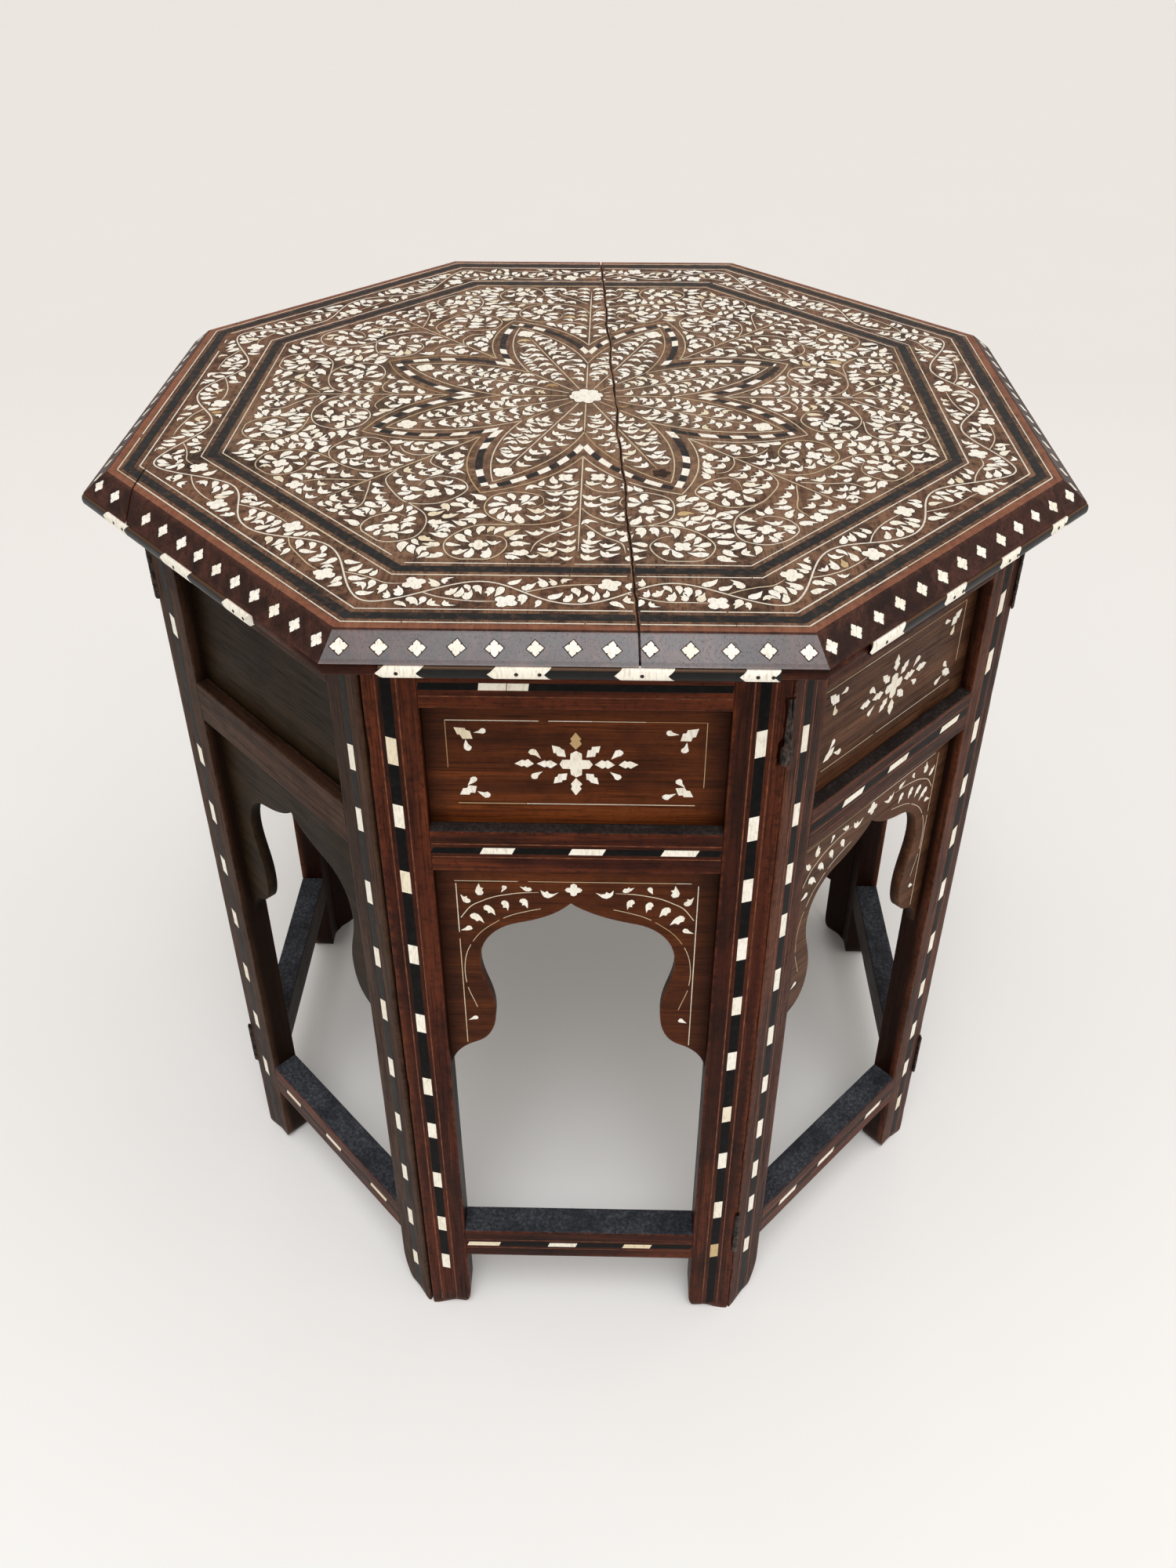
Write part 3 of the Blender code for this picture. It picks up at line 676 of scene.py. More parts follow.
def half_arch(n=10):
    apex, crown, shoulder = (0.0, 0.4230), (0.0355, 0.4062), (0.0605, 0.3720)
    lobe, cusp, foot = (0.0527, 0.3260), (0.0665, 0.2960), (STILE_IN, SPANDREL_FOOT)
    pts = [apex]
    pts += bezier(apex, (0.008, 0.4150), (0.021, 0.4094), crown, n)
    pts += bezier(crown, (0.049, 0.4030), (shoulder[0], 0.3920), shoulder, n)
    pts += bezier(shoulder, (shoulder[0], 0.3550), (lobe[0], 0.3450), lobe, n)
    pts += bezier(lobe, (lobe[0], 0.3105), (0.0570, 0.3000), cusp, n)
    pts += bezier(cusp, (0.0760, 0.2920), (foot[0], 0.2830), foot, n)
    return pts


def offset(poly, dist):
    """Closed outline moved inwards by dist (counter-clockwise input)."""
    out, n = [], len(poly)
    for i in range(n):
        p0, p, p1 = Vector(poly[i - 1]), Vector(poly[i]), Vector(poly[(i + 1) % n])
        a, b = (p - p0).normalized(), (p1 - p).normalized()
        na, nb = Vector((-a.y, a.x)), Vector((-b.y, b.x))
        m = na + nb
        if m.length < 1e-6:
            m = na
        m.normalize()
        k = max(0.45, m.dot(na))
        q = p + m * (dist / k)
        out.append((q.x, q.y))
    return out


def panel(k):
    leaf = LEAVES[k]
    w = STILE_IN + TONGUE
    right = half_arch()
    poly = [(w, SPANDREL_FOOT), (w, BASE_TOP - 0.0006), (-w, BASE_TOP - 0.0006), (-w, SPANDREL_FOOT)]
    poly += [(-u, z) for u, z in reversed(right)] + right[1:]
    if k == 0:
        poly = [(u - 3.6 * MM * min(1.0, max(0.0, (z - 0.4060) / 0.0150)) if z < 0.4300 else u, z) for u, z in poly]
    rings, wears = [], []
    for o, v, wr in ((1.3, 17.0, 0), (0.5, 17.0, 0.6), (0.0, 16.5, 0.6), (0.0, 14.0, 0.1), (0.0, 11.0, 0.1),
                     (0.0, 9.7, 0.9), (0.2, 9.2, 1.0), (0.7, 9.0, 1.0), (1.3, 9.0, 0.0)):
        ring = offset(poly, o * MM) if o else poly
        rings.append([(u, v * MM, z) for u, z in ring])
        wears.append([float(wr)] * len(ring))
    b = Build()
    b.loft(rings, wears=wears)
    return b.make(f"{leaf}_arched_board", M_BOARD if k == 0 else M_PLAIN if k == 7 else M_SIDE_BOARD, "wood_frame", leaf + "_leaf", leaf_matrix(k),
                  [f"{leaf}_leaf_arched_panel"], smooth=38)


def hinge(k, level):
    """Five-knuckle barrel on its pin, with the flap let into the mitre."""
    leaf = LEAVES[k]
    z0, z1 = HINGES_Z[level]
    inside = k in INSIDE_CORNERS
    s = FRAME_T / C225 + PIN_PROUD if inside else -PIN_PROUD
    au, av = -(HALF - s * S225), s * C225
    prof = [(0.0, 0.0004), (0.0001, 0.0008), (0.0005, 0.0012), (0.0011, 0.0013)]
    lo, hi = z0 + 0.0011, z1 - 0.0011
    n = 5
    for i in range(n):
        p, q = lo + (hi - lo) * i / n - z0, lo + (hi - lo) * (i + 1) / n - z0
        big = 0.0019 * (1.0 if i % 2 else 0.965)
        prof += [(p + 0.0001, big - 0.00045), (p + 0.0004, big - 0.0001), (p + 0.0008, big),
                 (q - 0.0008, big), (q - 0.0004, big - 0.0001), (q - 0.0001, big - 0.00045)]
    prof += [(z1 - z0 - 0.0011, 0.0013), (z1 - z0 - 0.0005, 0.0012), (z1 - z0 - 0.0001, 0.0008), (z1 - z0, 0.0004)]
    b = Build()
    rings = []
    stump = (k, level) == (1, 1)
    slim, sunk = {2: (0.63, 0.0015), 7: (0.74, 0.0012)}.get(k, (1.0, 0.0 if inside else 0.0008))
    if stump:
        prof = [(h, r) for h, r in ((0.0, 0.0008), (0.0006, 0.0020), (0.0020, 0.0030), (0.0045, 0.0036), (0.0080, 0.0040), (0.0110, 0.0036),
                                    (0.0140, 0.0031), (0.0165, 0.0026), (0.0185, 0.0017), (0.0200, 0.0012), (0.0260, 0.0011), (0.0340, 0.0011),
                                    (0.0420, 0.0010), (0.0440, 0.0009), (0.0450, 0.0005))]
    for h, r in prof:
        ring = []
        for i in range(18):
            t = 2 * math.pi * i / 18
            rr = r * (1 + (0.62 if stump else 0.05) * noise.noise(Vector((math.cos(t) * 2, math.sin(t) * 2, h * (520 if stump else 260) + k))))
            rr, back = (rr, 0.0022) if stump else (rr * slim, sunk)
            du, dv = rr * math.cos(t) - back * S225, rr * math.sin(t) + back * C225
            most = (0.0048 if h < 0.0140 else 0.0033) / max(math.hypot(du, dv), 1e-6) if stump else 1.0
            ring.append((au + du * min(1.0, most), av + dv * min(1.0, most), z0 + h))
        rings.append(ring)
    b.loft(rings)
    sgn = -1.0 if inside else 1.0
    rings = []
    for e, w in ((0.0004, 0.0003), (0.0, 0.0006), (0.0, 0.0012), (0.0004, 0.0003 + FLAP_T)):
        rect = [(0.0012, z0 + 0.0006 + e), (FLAP_REACH - 0.001 - e, z0 + 0.0006 + e), (FLAP_REACH - e, z0 + 0.0016 + e),
                (FLAP_REACH - e, z1 - 0.0016 - e), (FLAP_REACH - 0.001 - e, z1 - 0.0006 - e), (0.0012, z1 - 0.0006 - e)]
        rings.append([(au + sgn * q * S225 + w * C225, av + sgn * q * C225 - w * S225, z) for q, z in rect])
    if inside:
        rings.reverse()
    b.loft(rings)
    tag = ("lower", "upper")[level]
    return b.make(f"{leaf}_{tag}_hinge_iron", M_IRON, "iron", leaf + "_leaf", leaf_matrix(k),
                  [f"{leaf}_leaf_{tag}_hinge"], smooth=40)


for k, leaf in enumerate(LEAVES):
    stile(k, -1)
    stile(k, 1)
    panel(k)
    w = STILE_IN - 0.0001
    m_rail = M_RAIL if k == 0 else M_PLAIN_RAIL if k == 7 else M_SIDE_RAIL
    bar = rail_loft(-w, w, 0.0, BOARD_V0 + 0.004, HEAD_LOW, BASE_TOP, 0.7 * MM, k * 3.1)
    bar.make(f"{leaf}_head_rail", m_rail, "wood_frame", leaf + "_leaf", leaf_matrix(k), smooth=38)
    bar = rail_loft(-w, w, 0.0, BOARD_V0 - GAP, MID_LOW, MID_HIGH, 0.7 * MM, k * 3.1 + 50)
    bar.make(f"{leaf}_middle_rail_wood", m_rail, "wood_frame", leaf + "_leaf", leaf_matrix(k),
             [f"{leaf}_leaf_middle_rail"], smooth=38)
    bar = rail_loft(-w, w, 0.0, FRAME_T, STRETCH_LOW, STRETCH_HIGH, 0.9 * MM, k * 3.1 + 90)
    bar.make(f"{leaf}_stretcher_wood", M_STRETCHER, "wood_frame", leaf + "_leaf", leaf_matrix(k),
             [f"{leaf}_leaf_stretcher"], smooth=38)
    hinge(k, 0)
    hinge(k, 1)


# ---------------------------------------------------------------- boarded top
TOP_Z0 = HEIGHT - TOP_THICK
A = TOP_FLATS / 2
DROP = TOP_THICK - BEVEL_DROP


def joint_x(joint, y, seed, reach):
    """x of an open joint at y: the straight joint with a natural, jagged wander inside the rim."""
    x = joint[0] + (joint[1] - joint[0]) * (y + A) / (2 * A)
    if abs(y) < reach:
        fade = min(1.0, (reach - abs(y)) / 0.02)
        x += fade * (wob(y, seed, 0.0, 26, 1.5 * MM) + wob(y, seed, 3.0, 120, 0.7 * MM) + wob(y, seed, 7.0, 520, 0.35 * MM))
    return x


def joint_half(y, seed):
    h = CRACK / 2 * (0.85 + 0.5 * noise.noise(Vector((y * 40, seed, 9.0))))
    return h if seed < 5 else h * max(0.16, min(1.0, 0.16 + (-0.108 - y) / 0.012))


def joint_points(joint, seed, reach, side, n):
    """Edge points (x, y) from front to back on one side of an open joint."""
    out = []
    for i in range(n + 1):
        y = -reach + 2 * reach * i / n
        h = joint_half(y, seed)
        h += max(0.0, noise.noise(Vector((y * 300, seed + side, 2.0)))) * 0.35 * MM * min(1.0, h / CRACK * 2)
        out.append((joint_x(joint, y, seed, reach) + side * h, y))
    return out


def corner(ap, deg):
    r = ap / C225
    return (r * math.cos(math.radians(deg)), r * math.sin(math.radians(deg)))


def cut_straight(joint, side, ap, back):
    x0 = (joint[0] + joint[1]) / 2
    m = (joint[1] - joint[0]) / (2 * A)
    y = ap if back else -ap
    return (x0 + m * y + side * CRACK / 2, y)


def cut_diagonal(side, ap, back):
    x0 = (LEFT_JOINT[0] + LEFT_JOINT[1]) / 2 + side * CRACK / 2
    m = (LEFT_JOINT[1] - LEFT_JOINT[0]) / (2 * A)
    r = -ap * math.sqrt(2)
    if back:
        y = (r - x0) / (m - 1)
    else:
        y = (r - x0) / (m + 1)
    return (x0 + m * y, y)


MAIN_REACH, LEFT_REACH = 0.2800, 0.1340
slope = math.hypot(BEVEL_RUN, BEVEL_DROP)
du, dz = BEVEL_RUN / slope, BEVEL_DROP / slope
rebate = A - BAND_DEEP - GAP
LEVELS = [(rebate - 0.0004, 0.0, 0.0), (rebate, 0.0004, 0.0), (rebate, DROP - 0.0001, 0.0), (A - 0.0007, DROP, 0.7),
          (A - 0.0001, DROP + 0.0003, 1.0), (A - 0.0003 - du * 0.0006, DROP + 0.0005 + dz * 0.0006, 0.8),
          (A - du * 0.0030, DROP + dz * 0.0030, 0.0), (A - du * (slope - 0.0032), DROP + dz * (slope - 0.0032), 0.0)]
for i in range(5):
    t = i / 4
    p, q, r = (A - du * (slope - 0.0016), DROP + dz * (slope - 0.0016)), (A - BEVEL_RUN, TOP_THICK), \
        (A - BEVEL_RUN - 0.0016, TOP_THICK)
    LEVELS.append(tuple((1 - t) ** 2 * x + 2 * t * (1 - t) * y + t * t * z for x, y, z in zip(p, q, r)) + (1.0 if i else 0.4,))

right_edge = joint_points(MAIN_JOINT, 3.0, MAIN_REACH, 1, 150)
middle_edge = joint_points(MAIN_JOINT, 3.0, MAIN_REACH, -1, 150)
left_in = joint_points(LEFT_JOINT, 8.0, LEFT_REACH, 1, 70)
left_out = joint_points(LEFT_JOINT, 8.0, LEFT_REACH, -1, 70)


def board(name, ring_at, node):
    b = Build()
    rings, wears = [], []
    for ap, z, w in LEVELS:
        ring = ring_at(ap)
        rings.append([(x, y, TOP_Z0 + z) for x, y in ring])
        wears.append([w] * len(ring))
    b.loft(rings, wears=wears)
    ob = b.make(name, M_TOP, "wood_top", "top", None, [node], smooth=30)
    ob.data.materials.append(M_BEVEL)
    ob.data.materials.append(M_BEVEL_DULL)
    for face in ob.data.polygons:
        if face.center.z > TOP_Z0 + DROP - 0.0005 and 0.2 < face.normal.z < 0.985:
            face.material_index = 1 if face.normal.y < -0.5 else 2
            face.use_smooth = face.area < 5e-5
    return ob


board("right_board_wood", lambda ap: [cut_straight(MAIN_JOINT, 1, ap, False)] + [corner(ap, d) for d in (-67.5, -22.5, 22.5, 67.5)] +
      [cut_straight(MAIN_JOINT, 1, ap, True)] + right_edge[::-1], "top_right_board")
board("middle_board_wood", lambda ap: [cut_diagonal(1, ap, False), corner(ap, -112.5), cut_straight(MAIN_JOINT, -1, ap, False)] +
      middle_edge + [cut_straight(MAIN_JOINT, -1, ap, True), corner(ap, 112.5), cut_diagonal(1, ap, True)] + left_in[::-1],
      "top_middle_board")
board("left_board_wood", lambda ap: [cut_diagonal(-1, ap, True), corner(ap, 157.5), corner(ap, -157.5), cut_diagonal(-1, ap, False)] +
      left_out, "top_left_board")


def joint_dirt(name, low, high):
    """Old wax and dirt packed in an open joint, some way below its arrises."""
    b, rings = Build(), []
    for (x0, y), (x1, _) in zip(low, high):
        roof = min(TOP_THICK, DROP + BEVEL_DROP * (A - abs(y)) / BEVEL_RUN)
        z0, z1 = TOP_Z0 + 0.002, TOP_Z0 + roof - (2.6 + 0.5 * noise.noise(Vector((y * 60, 3.3, 1.0)))) * MM
        x0, x1 = x0 + 0.02 * MM, x1 - 0.02 * MM
        rings.append([(x0, y, z0), (x0, y, z1), (x1, y, z1), (x1, y, z0)])
    b.loft(rings)
    return b.make(name, M_FILL, "ebony", "top")


ends = [[[cut_straight(MAIN_JOINT, side, ap, back) for ap in (0.2880, 0.2910, 0.2960, 0.3005)] for back in (False, True)] for side in (-1, 1)]
joint_dirt("main_joint_dirt", ends[0][0][::-1] + middle_edge + ends[0][1], ends[1][0][::-1] + right_edge + ends[1][1])
joint_dirt("left_joint_dirt", left_out, left_in)

# ---------------------------------------------------------------- half-round ebony moulding round the rim
BAND_LOW, BAND_HIGH, BAND_OUT = GAP, DROP - GAP, 0.0013
BAND_SECTION = []
for i in range(11):
    t = i / 10
    ang = math.radians(-90 + 180 * t)
    BAND_SECTION.append((A - 0.0026 + (0.0026 + BAND_OUT) * max(0.0, math.cos(ang)) ** 0.36,
                         (BAND_LOW + BAND_HIGH) / 2 + (BAND_HIGH - BAND_LOW) / 2 * math.sin(ang)))


def side_point(j, ap, t):
    """Point on side j (0 faces the viewer, then counter-clockwise) at apothem ap, t from its left to its right end."""
    return lerp(corner(ap, -112.5 + 45 * j), corner(ap, -67.5 + 45 * j), t)


def moulding(b, j, t0, t1, grow=0.0, ends=(0.0, 0.0), tone=0.5, n=24, wear_top=True):
    """One run of the half-round moulding; ends gives how far the ends are pointed (+) or notched (-)."""
    rings, wears = [], []
    back = A - BAND_DEEP + 0.0001
    m = len(BAND_SECTION)
    for i in range(n + 1):
        f = i / n
        ring = []
        sec = [(ap + grow, z) for ap, z in BAND_SECTION] + [(back, BAND_HIGH), (back, BAND_LOW)]
        for q, (ap, z) in enumerate(sec):
            h = abs(2 * (z - BAND_LOW) / (BAND_HIGH - BAND_LOW) - 1)
            a = t0 + ends[0] * (h - 0.5)
            c = t1 - ends[1] * (h - 0.5)
            x, y = side_point(j, ap, a + (c - a) * f)
            ring.append((x, y, TOP_Z0 + z))
        rings.append(ring)
        wears.append([(0.9 if wear_top and q in (8, 9) else 0.0) for q in range(m + 2)])
    b.loft(rings, tone=tone, wears=wears)


CHEVRONS = {0: [(0.160, 0.079), (0.395, 0.110), (0.640, 0.104), (0.865, 0.067)],
            7: [(0.168, 0.100), (0.447, 0.118), (0.697, 0.090)],
            1: [(0.190, 0.112), (0.435, 0.075), (0.655, 0.078), (0.868, 0.066)]}
for j in range(2, 7):
    CHEVRONS[j] = [(c + rng.uniform(-0.02, 0.02), rng.uniform(0.085, 0.112)) for c in (0.13, 0.38, 0.63, 0.87)]
RUNS = {0: [(0.118, 0.905)], 1: [(0.135, 1.0)], 7: [(0.0, 0.735)]}
band = Build()
chev = Build()
nails = Build()
for j in range(8):
    for t0, t1 in RUNS.get(j, [(0.0, 1.0)]):
        moulding(band, j, t0, t1)
    for c, w in CHEVRONS[j]:
        moulding(chev, j, c - w / 2, c + w / 2, 0.00015, (0.016, -0.015), rng.uniform(0.0, 0.5), 8, False)
        for q in (c - 0.006, c + w * 0.36):
            if q == c - 0.006 or rng.random() < 0.4:
                x, y = side_point(j, A + BAND_OUT + 0.0001, q)
                z = TOP_Z0 + (BAND_LOW + BAND_HIGH) / 2 + rng.uniform(-0.3, 0.3) * MM
                nx, ny = math.cos(math.radians(-90 + 45 * j)), math.sin(math.radians(-90 + 45 * j))
                tx, ty = -ny, nx
                rings = []
                for r, o in ((1.1, -0.6), (1.1, 0.10), (0.8, 0.24), (0.3, 0.30)):
                    rings.append([(x + nx * o * MM + tx * r * MM * math.cos(a), y + ny * o * MM + ty * r * MM * math.cos(a),
                                   z + r * MM * math.sin(a)) for a in (2 * math.pi * e / 8 for e in range(8))])
                nails.loft(rings)
band.make("edge_moulding_ebony", M_EDGE, "ebony", "top", None, ["top_edge_band"], smooth=40)
chev.make("edge_chevrons_bone", M_BONE, "bone", "top", None, smooth=40)
nails.make("edge_nails", M_NAIL, "iron", "top", None, smooth=40)

core = Build()
rings = []
for j in range(8):
    for i in range(6):
        t = i / 6
        ring = []
        for ap, z in ((A - 0.0034, BAND_LOW), (A - 0.0024, BAND_LOW), (A - 0.0018, BAND_LOW + 0.0008), (A - 0.0018, BAND_HIGH - 0.0008),
                      (A - 0.0024, BAND_HIGH), (A - 0.0034, BAND_HIGH)):
            x, y = side_point(j, ap, t)
            ring.append((x, y, TOP_Z0 + z))
        rings.append(ring)
core.loft(rings, closed=False)
core.make("edge_core_wood", M_RAIL, "wood_top", "top", None, smooth=40)

# ---------------------------------------------------------------- inlay: slips of bone and ebony let into a face
def signed_area(poly):
    return 0.5 * sum(a[0] * b[1] - b[0] * a[1] for a, b in zip(poly, poly[1:] + poly[:1]))


def slip(b, poly, place, proud=0.10, sink=0.7, chamfer=0.12, tone=0.5, rim=0.55):
    """A let-in piece: closed prism with a tiny worn edge; place(x, y, h) gives the point in space."""
    if signed_area(poly) < 0:
        poly = poly[::-1]
    low = [place(x, y, -sink * MM) for x, y in poly]
    if chamfer:
        mid = [place(x, y, (proud - 0.05) * MM) for x, y in poly]
        top = [place(x, y, proud * MM) for x, y in offset(poly, chamfer * MM)]
        b.loft([low, mid, top], tone=tone, wears=[[rim] * len(poly)] * 2 + [[0.0] * len(poly)])
    else:
        b.loft([low, [place(x, y, proud * MM) for x, y in poly]], tone=tone)


def strand(b, path, width, place, proud=0.08, sink=0.6, tone=0.6, taper=False):
    """A thin line of inlay along a path: square section, closed ends."""
    rings, n = [], len(path)
    for i, p in enumerate(path):
        a, c = path[max(i - 1, 0)], path[min(i + 1, n - 1)]
        tx, ty = c[0] - a[0], c[1] - a[1]
        d = math.hypot(tx, ty) or 1.0
        f = 1.0
        if taper:
            f = max(0.35, min(1.0, 4.0 * (1 - i / (n - 1)) + 0.2))
        nx, ny = -ty / d * width / 2 * f, tx / d * width / 2 * f
        rings.append([place(p[0] - nx, p[1] - ny, -sink * MM), place(p[0] + nx, p[1] + ny, -sink * MM),
                      place(p[0] + nx, p[1] + ny, proud * MM), place(p[0] - nx, p[1] - ny, proud * MM)])
    rings = [r[::-1] for r in rings]
    b.loft(rings, tone=tone, wears=[[0.35] * 4] * n)


def spline(pts, step):
    """Smooth path through the points (Catmull-Rom), sampled about every step."""
    p = [pts[0]] + list(pts) + [pts[-1]]
    out = []
    for i in range(1, len(p) - 2):
        a, b, c, d = p[i - 1], p[i], p[i + 1], p[i + 2]
        n = max(2, int(math.dist(b, c) / step))
        for j in range(n):
            t = j / n
            out.append(tuple(0.5 * (2 * b[q] + (c[q] - a[q]) * t + (2 * a[q] - 5 * b[q] + 4 * c[q] - d[q]) * t * t +
                                    (3 * b[q] - a[q] - 3 * c[q] + d[q]) * t ** 3) for q in (0, 1)))
    out.append(tuple(pts[-1]))
    return out


def resample(path, step):
    """Points with tangents at even distances along a path."""
    out, left = [], 0.0
    for a, b in zip(path, path[1:]):
        d = math.dist(a, b)
        if d < 1e-9:
            continue
        t = left
        while t < d:
            out.append((a[0] + (b[0] - a[0]) * t / d, a[1] + (b[1] - a[1]) * t / d, (b[0] - a[0]) / d, (b[1] - a[1]) / d))
            t += step
        left = t - d
    return out


# leaf shapes, about one unit long; x runs along the leaf
BIRD = [(-0.52, -0.20), (-0.37, 0.10), (-0.16, 0.30), (0.10, 0.33), (0.32, 0.14), (0.58, -0.33),
        (0.28, -0.12), (0.08, -0.05), (-0.08, -0.24), (-0.22, -0.06)]
COMMA = [(-0.48, -0.04), (-0.42, -0.24), (-0.22, -0.33), (0.04, -0.26), (0.28, -0.04), (0.58, 0.38),
         (0.22, 0.24), (0.04, 0.40), (-0.10, 0.22), (-0.36, 0.19)]
DROP_LEAF = [(-0.50, 0.0), (-0.39, -0.20), (-0.15, -0.27), (0.14, -0.20), (0.36, -0.02), (0.60, 0.28),
             (0.20, 0.20), (-0.10, 0.25), (-0.37, 0.18)]


def leaf_poly(shape, x, y, ang, size, flip, jit=0.03):
    c, s = math.cos(ang) * size, math.sin(ang) * size
    out = []
    for px, py in shape:
        px += rng.uniform(-jit, jit)
        py = (py + rng.uniform(-jit, jit)) * (-1 if flip else 1)
        out.append((x + px * c - py * s, y + px * s + py * c))
    return out if not flip else out[::-1]


def flower_poly(x, y, ang, r, lobes=4, depth=0.34, sharp=0.8):
    out = []
    n = lobes * 4
    for i in range(n):
        a = 2 * math.pi * i / n
        k = abs(math.cos(a * lobes / 2)) ** sharp
        q = r * (1 - depth + depth * k) * rng.uniform(0.96, 1.04)
        out.append((x + q * math.cos(a + ang), y + q * math.sin(a + ang)))
    return out


class Cover:
    """Which parts of a face are already taken, on a half-millimetre grid."""

    def __init__(self, half):
        self.half, self.cell = half, 0.0005
        n = int(2 * half / self.cell) + 1
        self.g = np.zeros((n, n), dtype=bool)

    def window(self, poly):
        xs, ys = [p[0] for p in poly], [p[1] for p in poly]
        n = self.g.shape[0]
        i0, i1 = (max(0, min(n, int((v + self.half) / self.cell) + k)) for v, k in ((min(xs), 0), (max(xs), 2)))
        j0, j1 = (max(0, min(n, int((v + self.half) / self.cell) + k)) for v, k in ((min(ys), 0), (max(ys), 2)))
        x = (np.arange(i0, i1) * self.cell - self.half)[None, :]
        y = (np.arange(j0, j1) * self.cell - self.half)[:, None]
        c = np.zeros((j1 - j0, i1 - i0), dtype=bool)
        for (x1, y1), (x2, y2) in zip(poly, poly[1:] + poly[:1]):
            if y1 != y2:
                c ^= ((y1 > y) != (y2 > y)) & (x < (x2 - x1) * (y - y1) / (y2 - y1) + x1)
        return (slice(j0, j1), slice(i0, i1)), c

    def free(self, poly, margin=0.0, allowed=None):
        if allowed is not None:
            w, c = self.window(poly)
            if (c & ~allowed[w]).any():
                return False
        if margin:
            poly = offset(poly if signed_area(poly) > 0 else poly[::-1], -margin)
        w, c = self.window(poly)
        return not (self.g[w] & c).any()

    def blank(self):
        return np.zeros_like(self.g)

    def paint(self, mask, poly, value):
        w, c = self.window(poly)
        mask[w][c] = value
        return mask

    def at(self, mask, x, y):
        i, j = int((x + self.half) / self.cell + 0.5), int((y + self.half) / self.cell + 0.5)
        return bool(mask[j, i])

    def mark(self, poly):
        w, c = self.window(poly)
        self.g[w] |= c

    def mark_path(self, path, width):
        for x, y, tx, ty in resample(path, self.cell * 0.9):
            for k in np.arange(-width / 2, width / 2 + 1e-9, self.cell * 0.9):
                i, j = int((x - ty * k + self.half) / self.cell + 0.5), int((y + tx * k + self.half) / self.cell + 0.5)
                if 0 <= i < self.g.shape[0] and 0 <= j < self.g.shape[0]:
                    self.g[j, i] = True

    def taken(self, x, y):
        i, j = int((x + self.half) / self.cell + 0.5), int((y + self.half) / self.cell + 0.5)
        return bool(self.g[j, i])


def clip_half(poly, a, b):
    """Part of a polygon left of the line a-b."""
    out = []
    def side(p):
        return (b[0] - a[0]) * (p[1] - a[1]) - (b[1] - a[1]) * (p[0] - a[0])
    for p, q in zip(poly, poly[1:] + poly[:1]):
        sp, sq = side(p), side(q)
        if sp >= 0:
            out.append(p)
        if (sp > 0) != (sq > 0) and abs(sp - sq) > 1e-15:
            out.append(lerp(p, q, sp / (sp - sq)))
    return out


def tidy(poly, gap=0.00012):
    out = []
    for p in poly:
        if not out or math.dist(p, out[-1]) > gap:
            out.append(p)
    while len(out) > 2 and math.dist(out[0], out[-1]) <= gap:
        out.pop()
    return out


def split_at_joints(poly):
    """Pieces of a polygon on the boards of the top, cut back from the open joints."""
    parts = [poly]
    for joint, seed, reach in ((MAIN_JOINT, 3.0, MAIN_REACH), (LEFT_JOINT, 8.0, LEFT_REACH)):
        nxt = []
        for p in parts:
            ys, xs = [q[1] for q in p], [q[0] for q in p]
            y0, y1 = min(ys) - 0.0005, max(ys) + 0.0005
            x0, x1 = joint_x(joint, y0, seed, reach), joint_x(joint, y1, seed, reach)
            if max(xs) < min(x0, x1) - 0.0015 or min(xs) > max(x0, x1) + 0.0015:
                nxt.append(p)
                continue
            h = 0.0011 if seed < 5 else 0.0003
            for part in (clip_half(p, (x0 - h, y0), (x1 - h, y1)), clip_half(p, (x1 + h, y1), (x0 + h, y0))):
                part = tidy(part)
                if len(part) > 2 and abs(signed_area(part)) > 4e-7:
                    nxt.append(part)
        parts = nxt
    return parts


def split_path(path):
    """Runs of a path that keep clear of the open joints."""
    runs, cur = [], []
    for p in path:
        near = any(abs(p[0] - joint_x(j, p[1], s, r)) < (0.0011 if s < 5 else 0.0003) for j, s, r in
                   ((MAIN_JOINT, 3.0, MAIN_REACH), (LEFT_JOINT, 8.0, LEFT_REACH)))
        if near:
            if len(cur) > 2:
                runs.append(cur)
            cur = []
        else:
            cur.append(p)
    if len(cur) > 2:
        runs.append(cur)
    return runs

# ---------------------------------------------------------------- inlay of the top
U = UNIT
cover = Cover(0.302)
field_bone, petal_bone, border_bone = Build(), Build(), Build()
top_fill, top_lines, top_ebony = Build(), Build(), Build()
stems = []                       # (x, y, tx, ty) of every stem, for leaves that fill in


def on_top(x, y, h):
    return (x, y, HEIGHT + h)


def spin(p, deg):
    c, s = math.cos(math.radians(deg)), math.sin(math.radians(deg))
    return (p[0] * c - p[1] * s, p[0] * s + p[1] * c)


def old_tone():
    q = rng.random()
    return rng.uniform(0.0, 0.60) if q < 0.93 else rng.uniform(0.60, 0.80) if q < 0.995 else rng.uniform(0.84, 1.0)


def bone_on_top(poly, b, tone=None, bed=0.42):
    """One bone slip, marked as taken, with the dark bedding that shows round it."""
    cover.mark(poly if len(poly) < 14 else offset(poly if signed_area(poly) > 0 else poly[::-1], -0.4 * MM))
    tone = old_tone() if tone is None else tone
    poly = poly if signed_area(poly) > 0 else poly[::-1]
    for part in split_at_joints(offset(poly, -0.2 * MM)):
        slip(b, part, on_top, tone=tone)
    if bed:
        wide = offset(poly, -(0.2 + bed * rng.uniform(0.6, 1.3)) * MM)
        for part in split_at_joints(wide):
            slip(top_fill, part, on_top, proud=0.02, sink=0.5, chamfer=0)


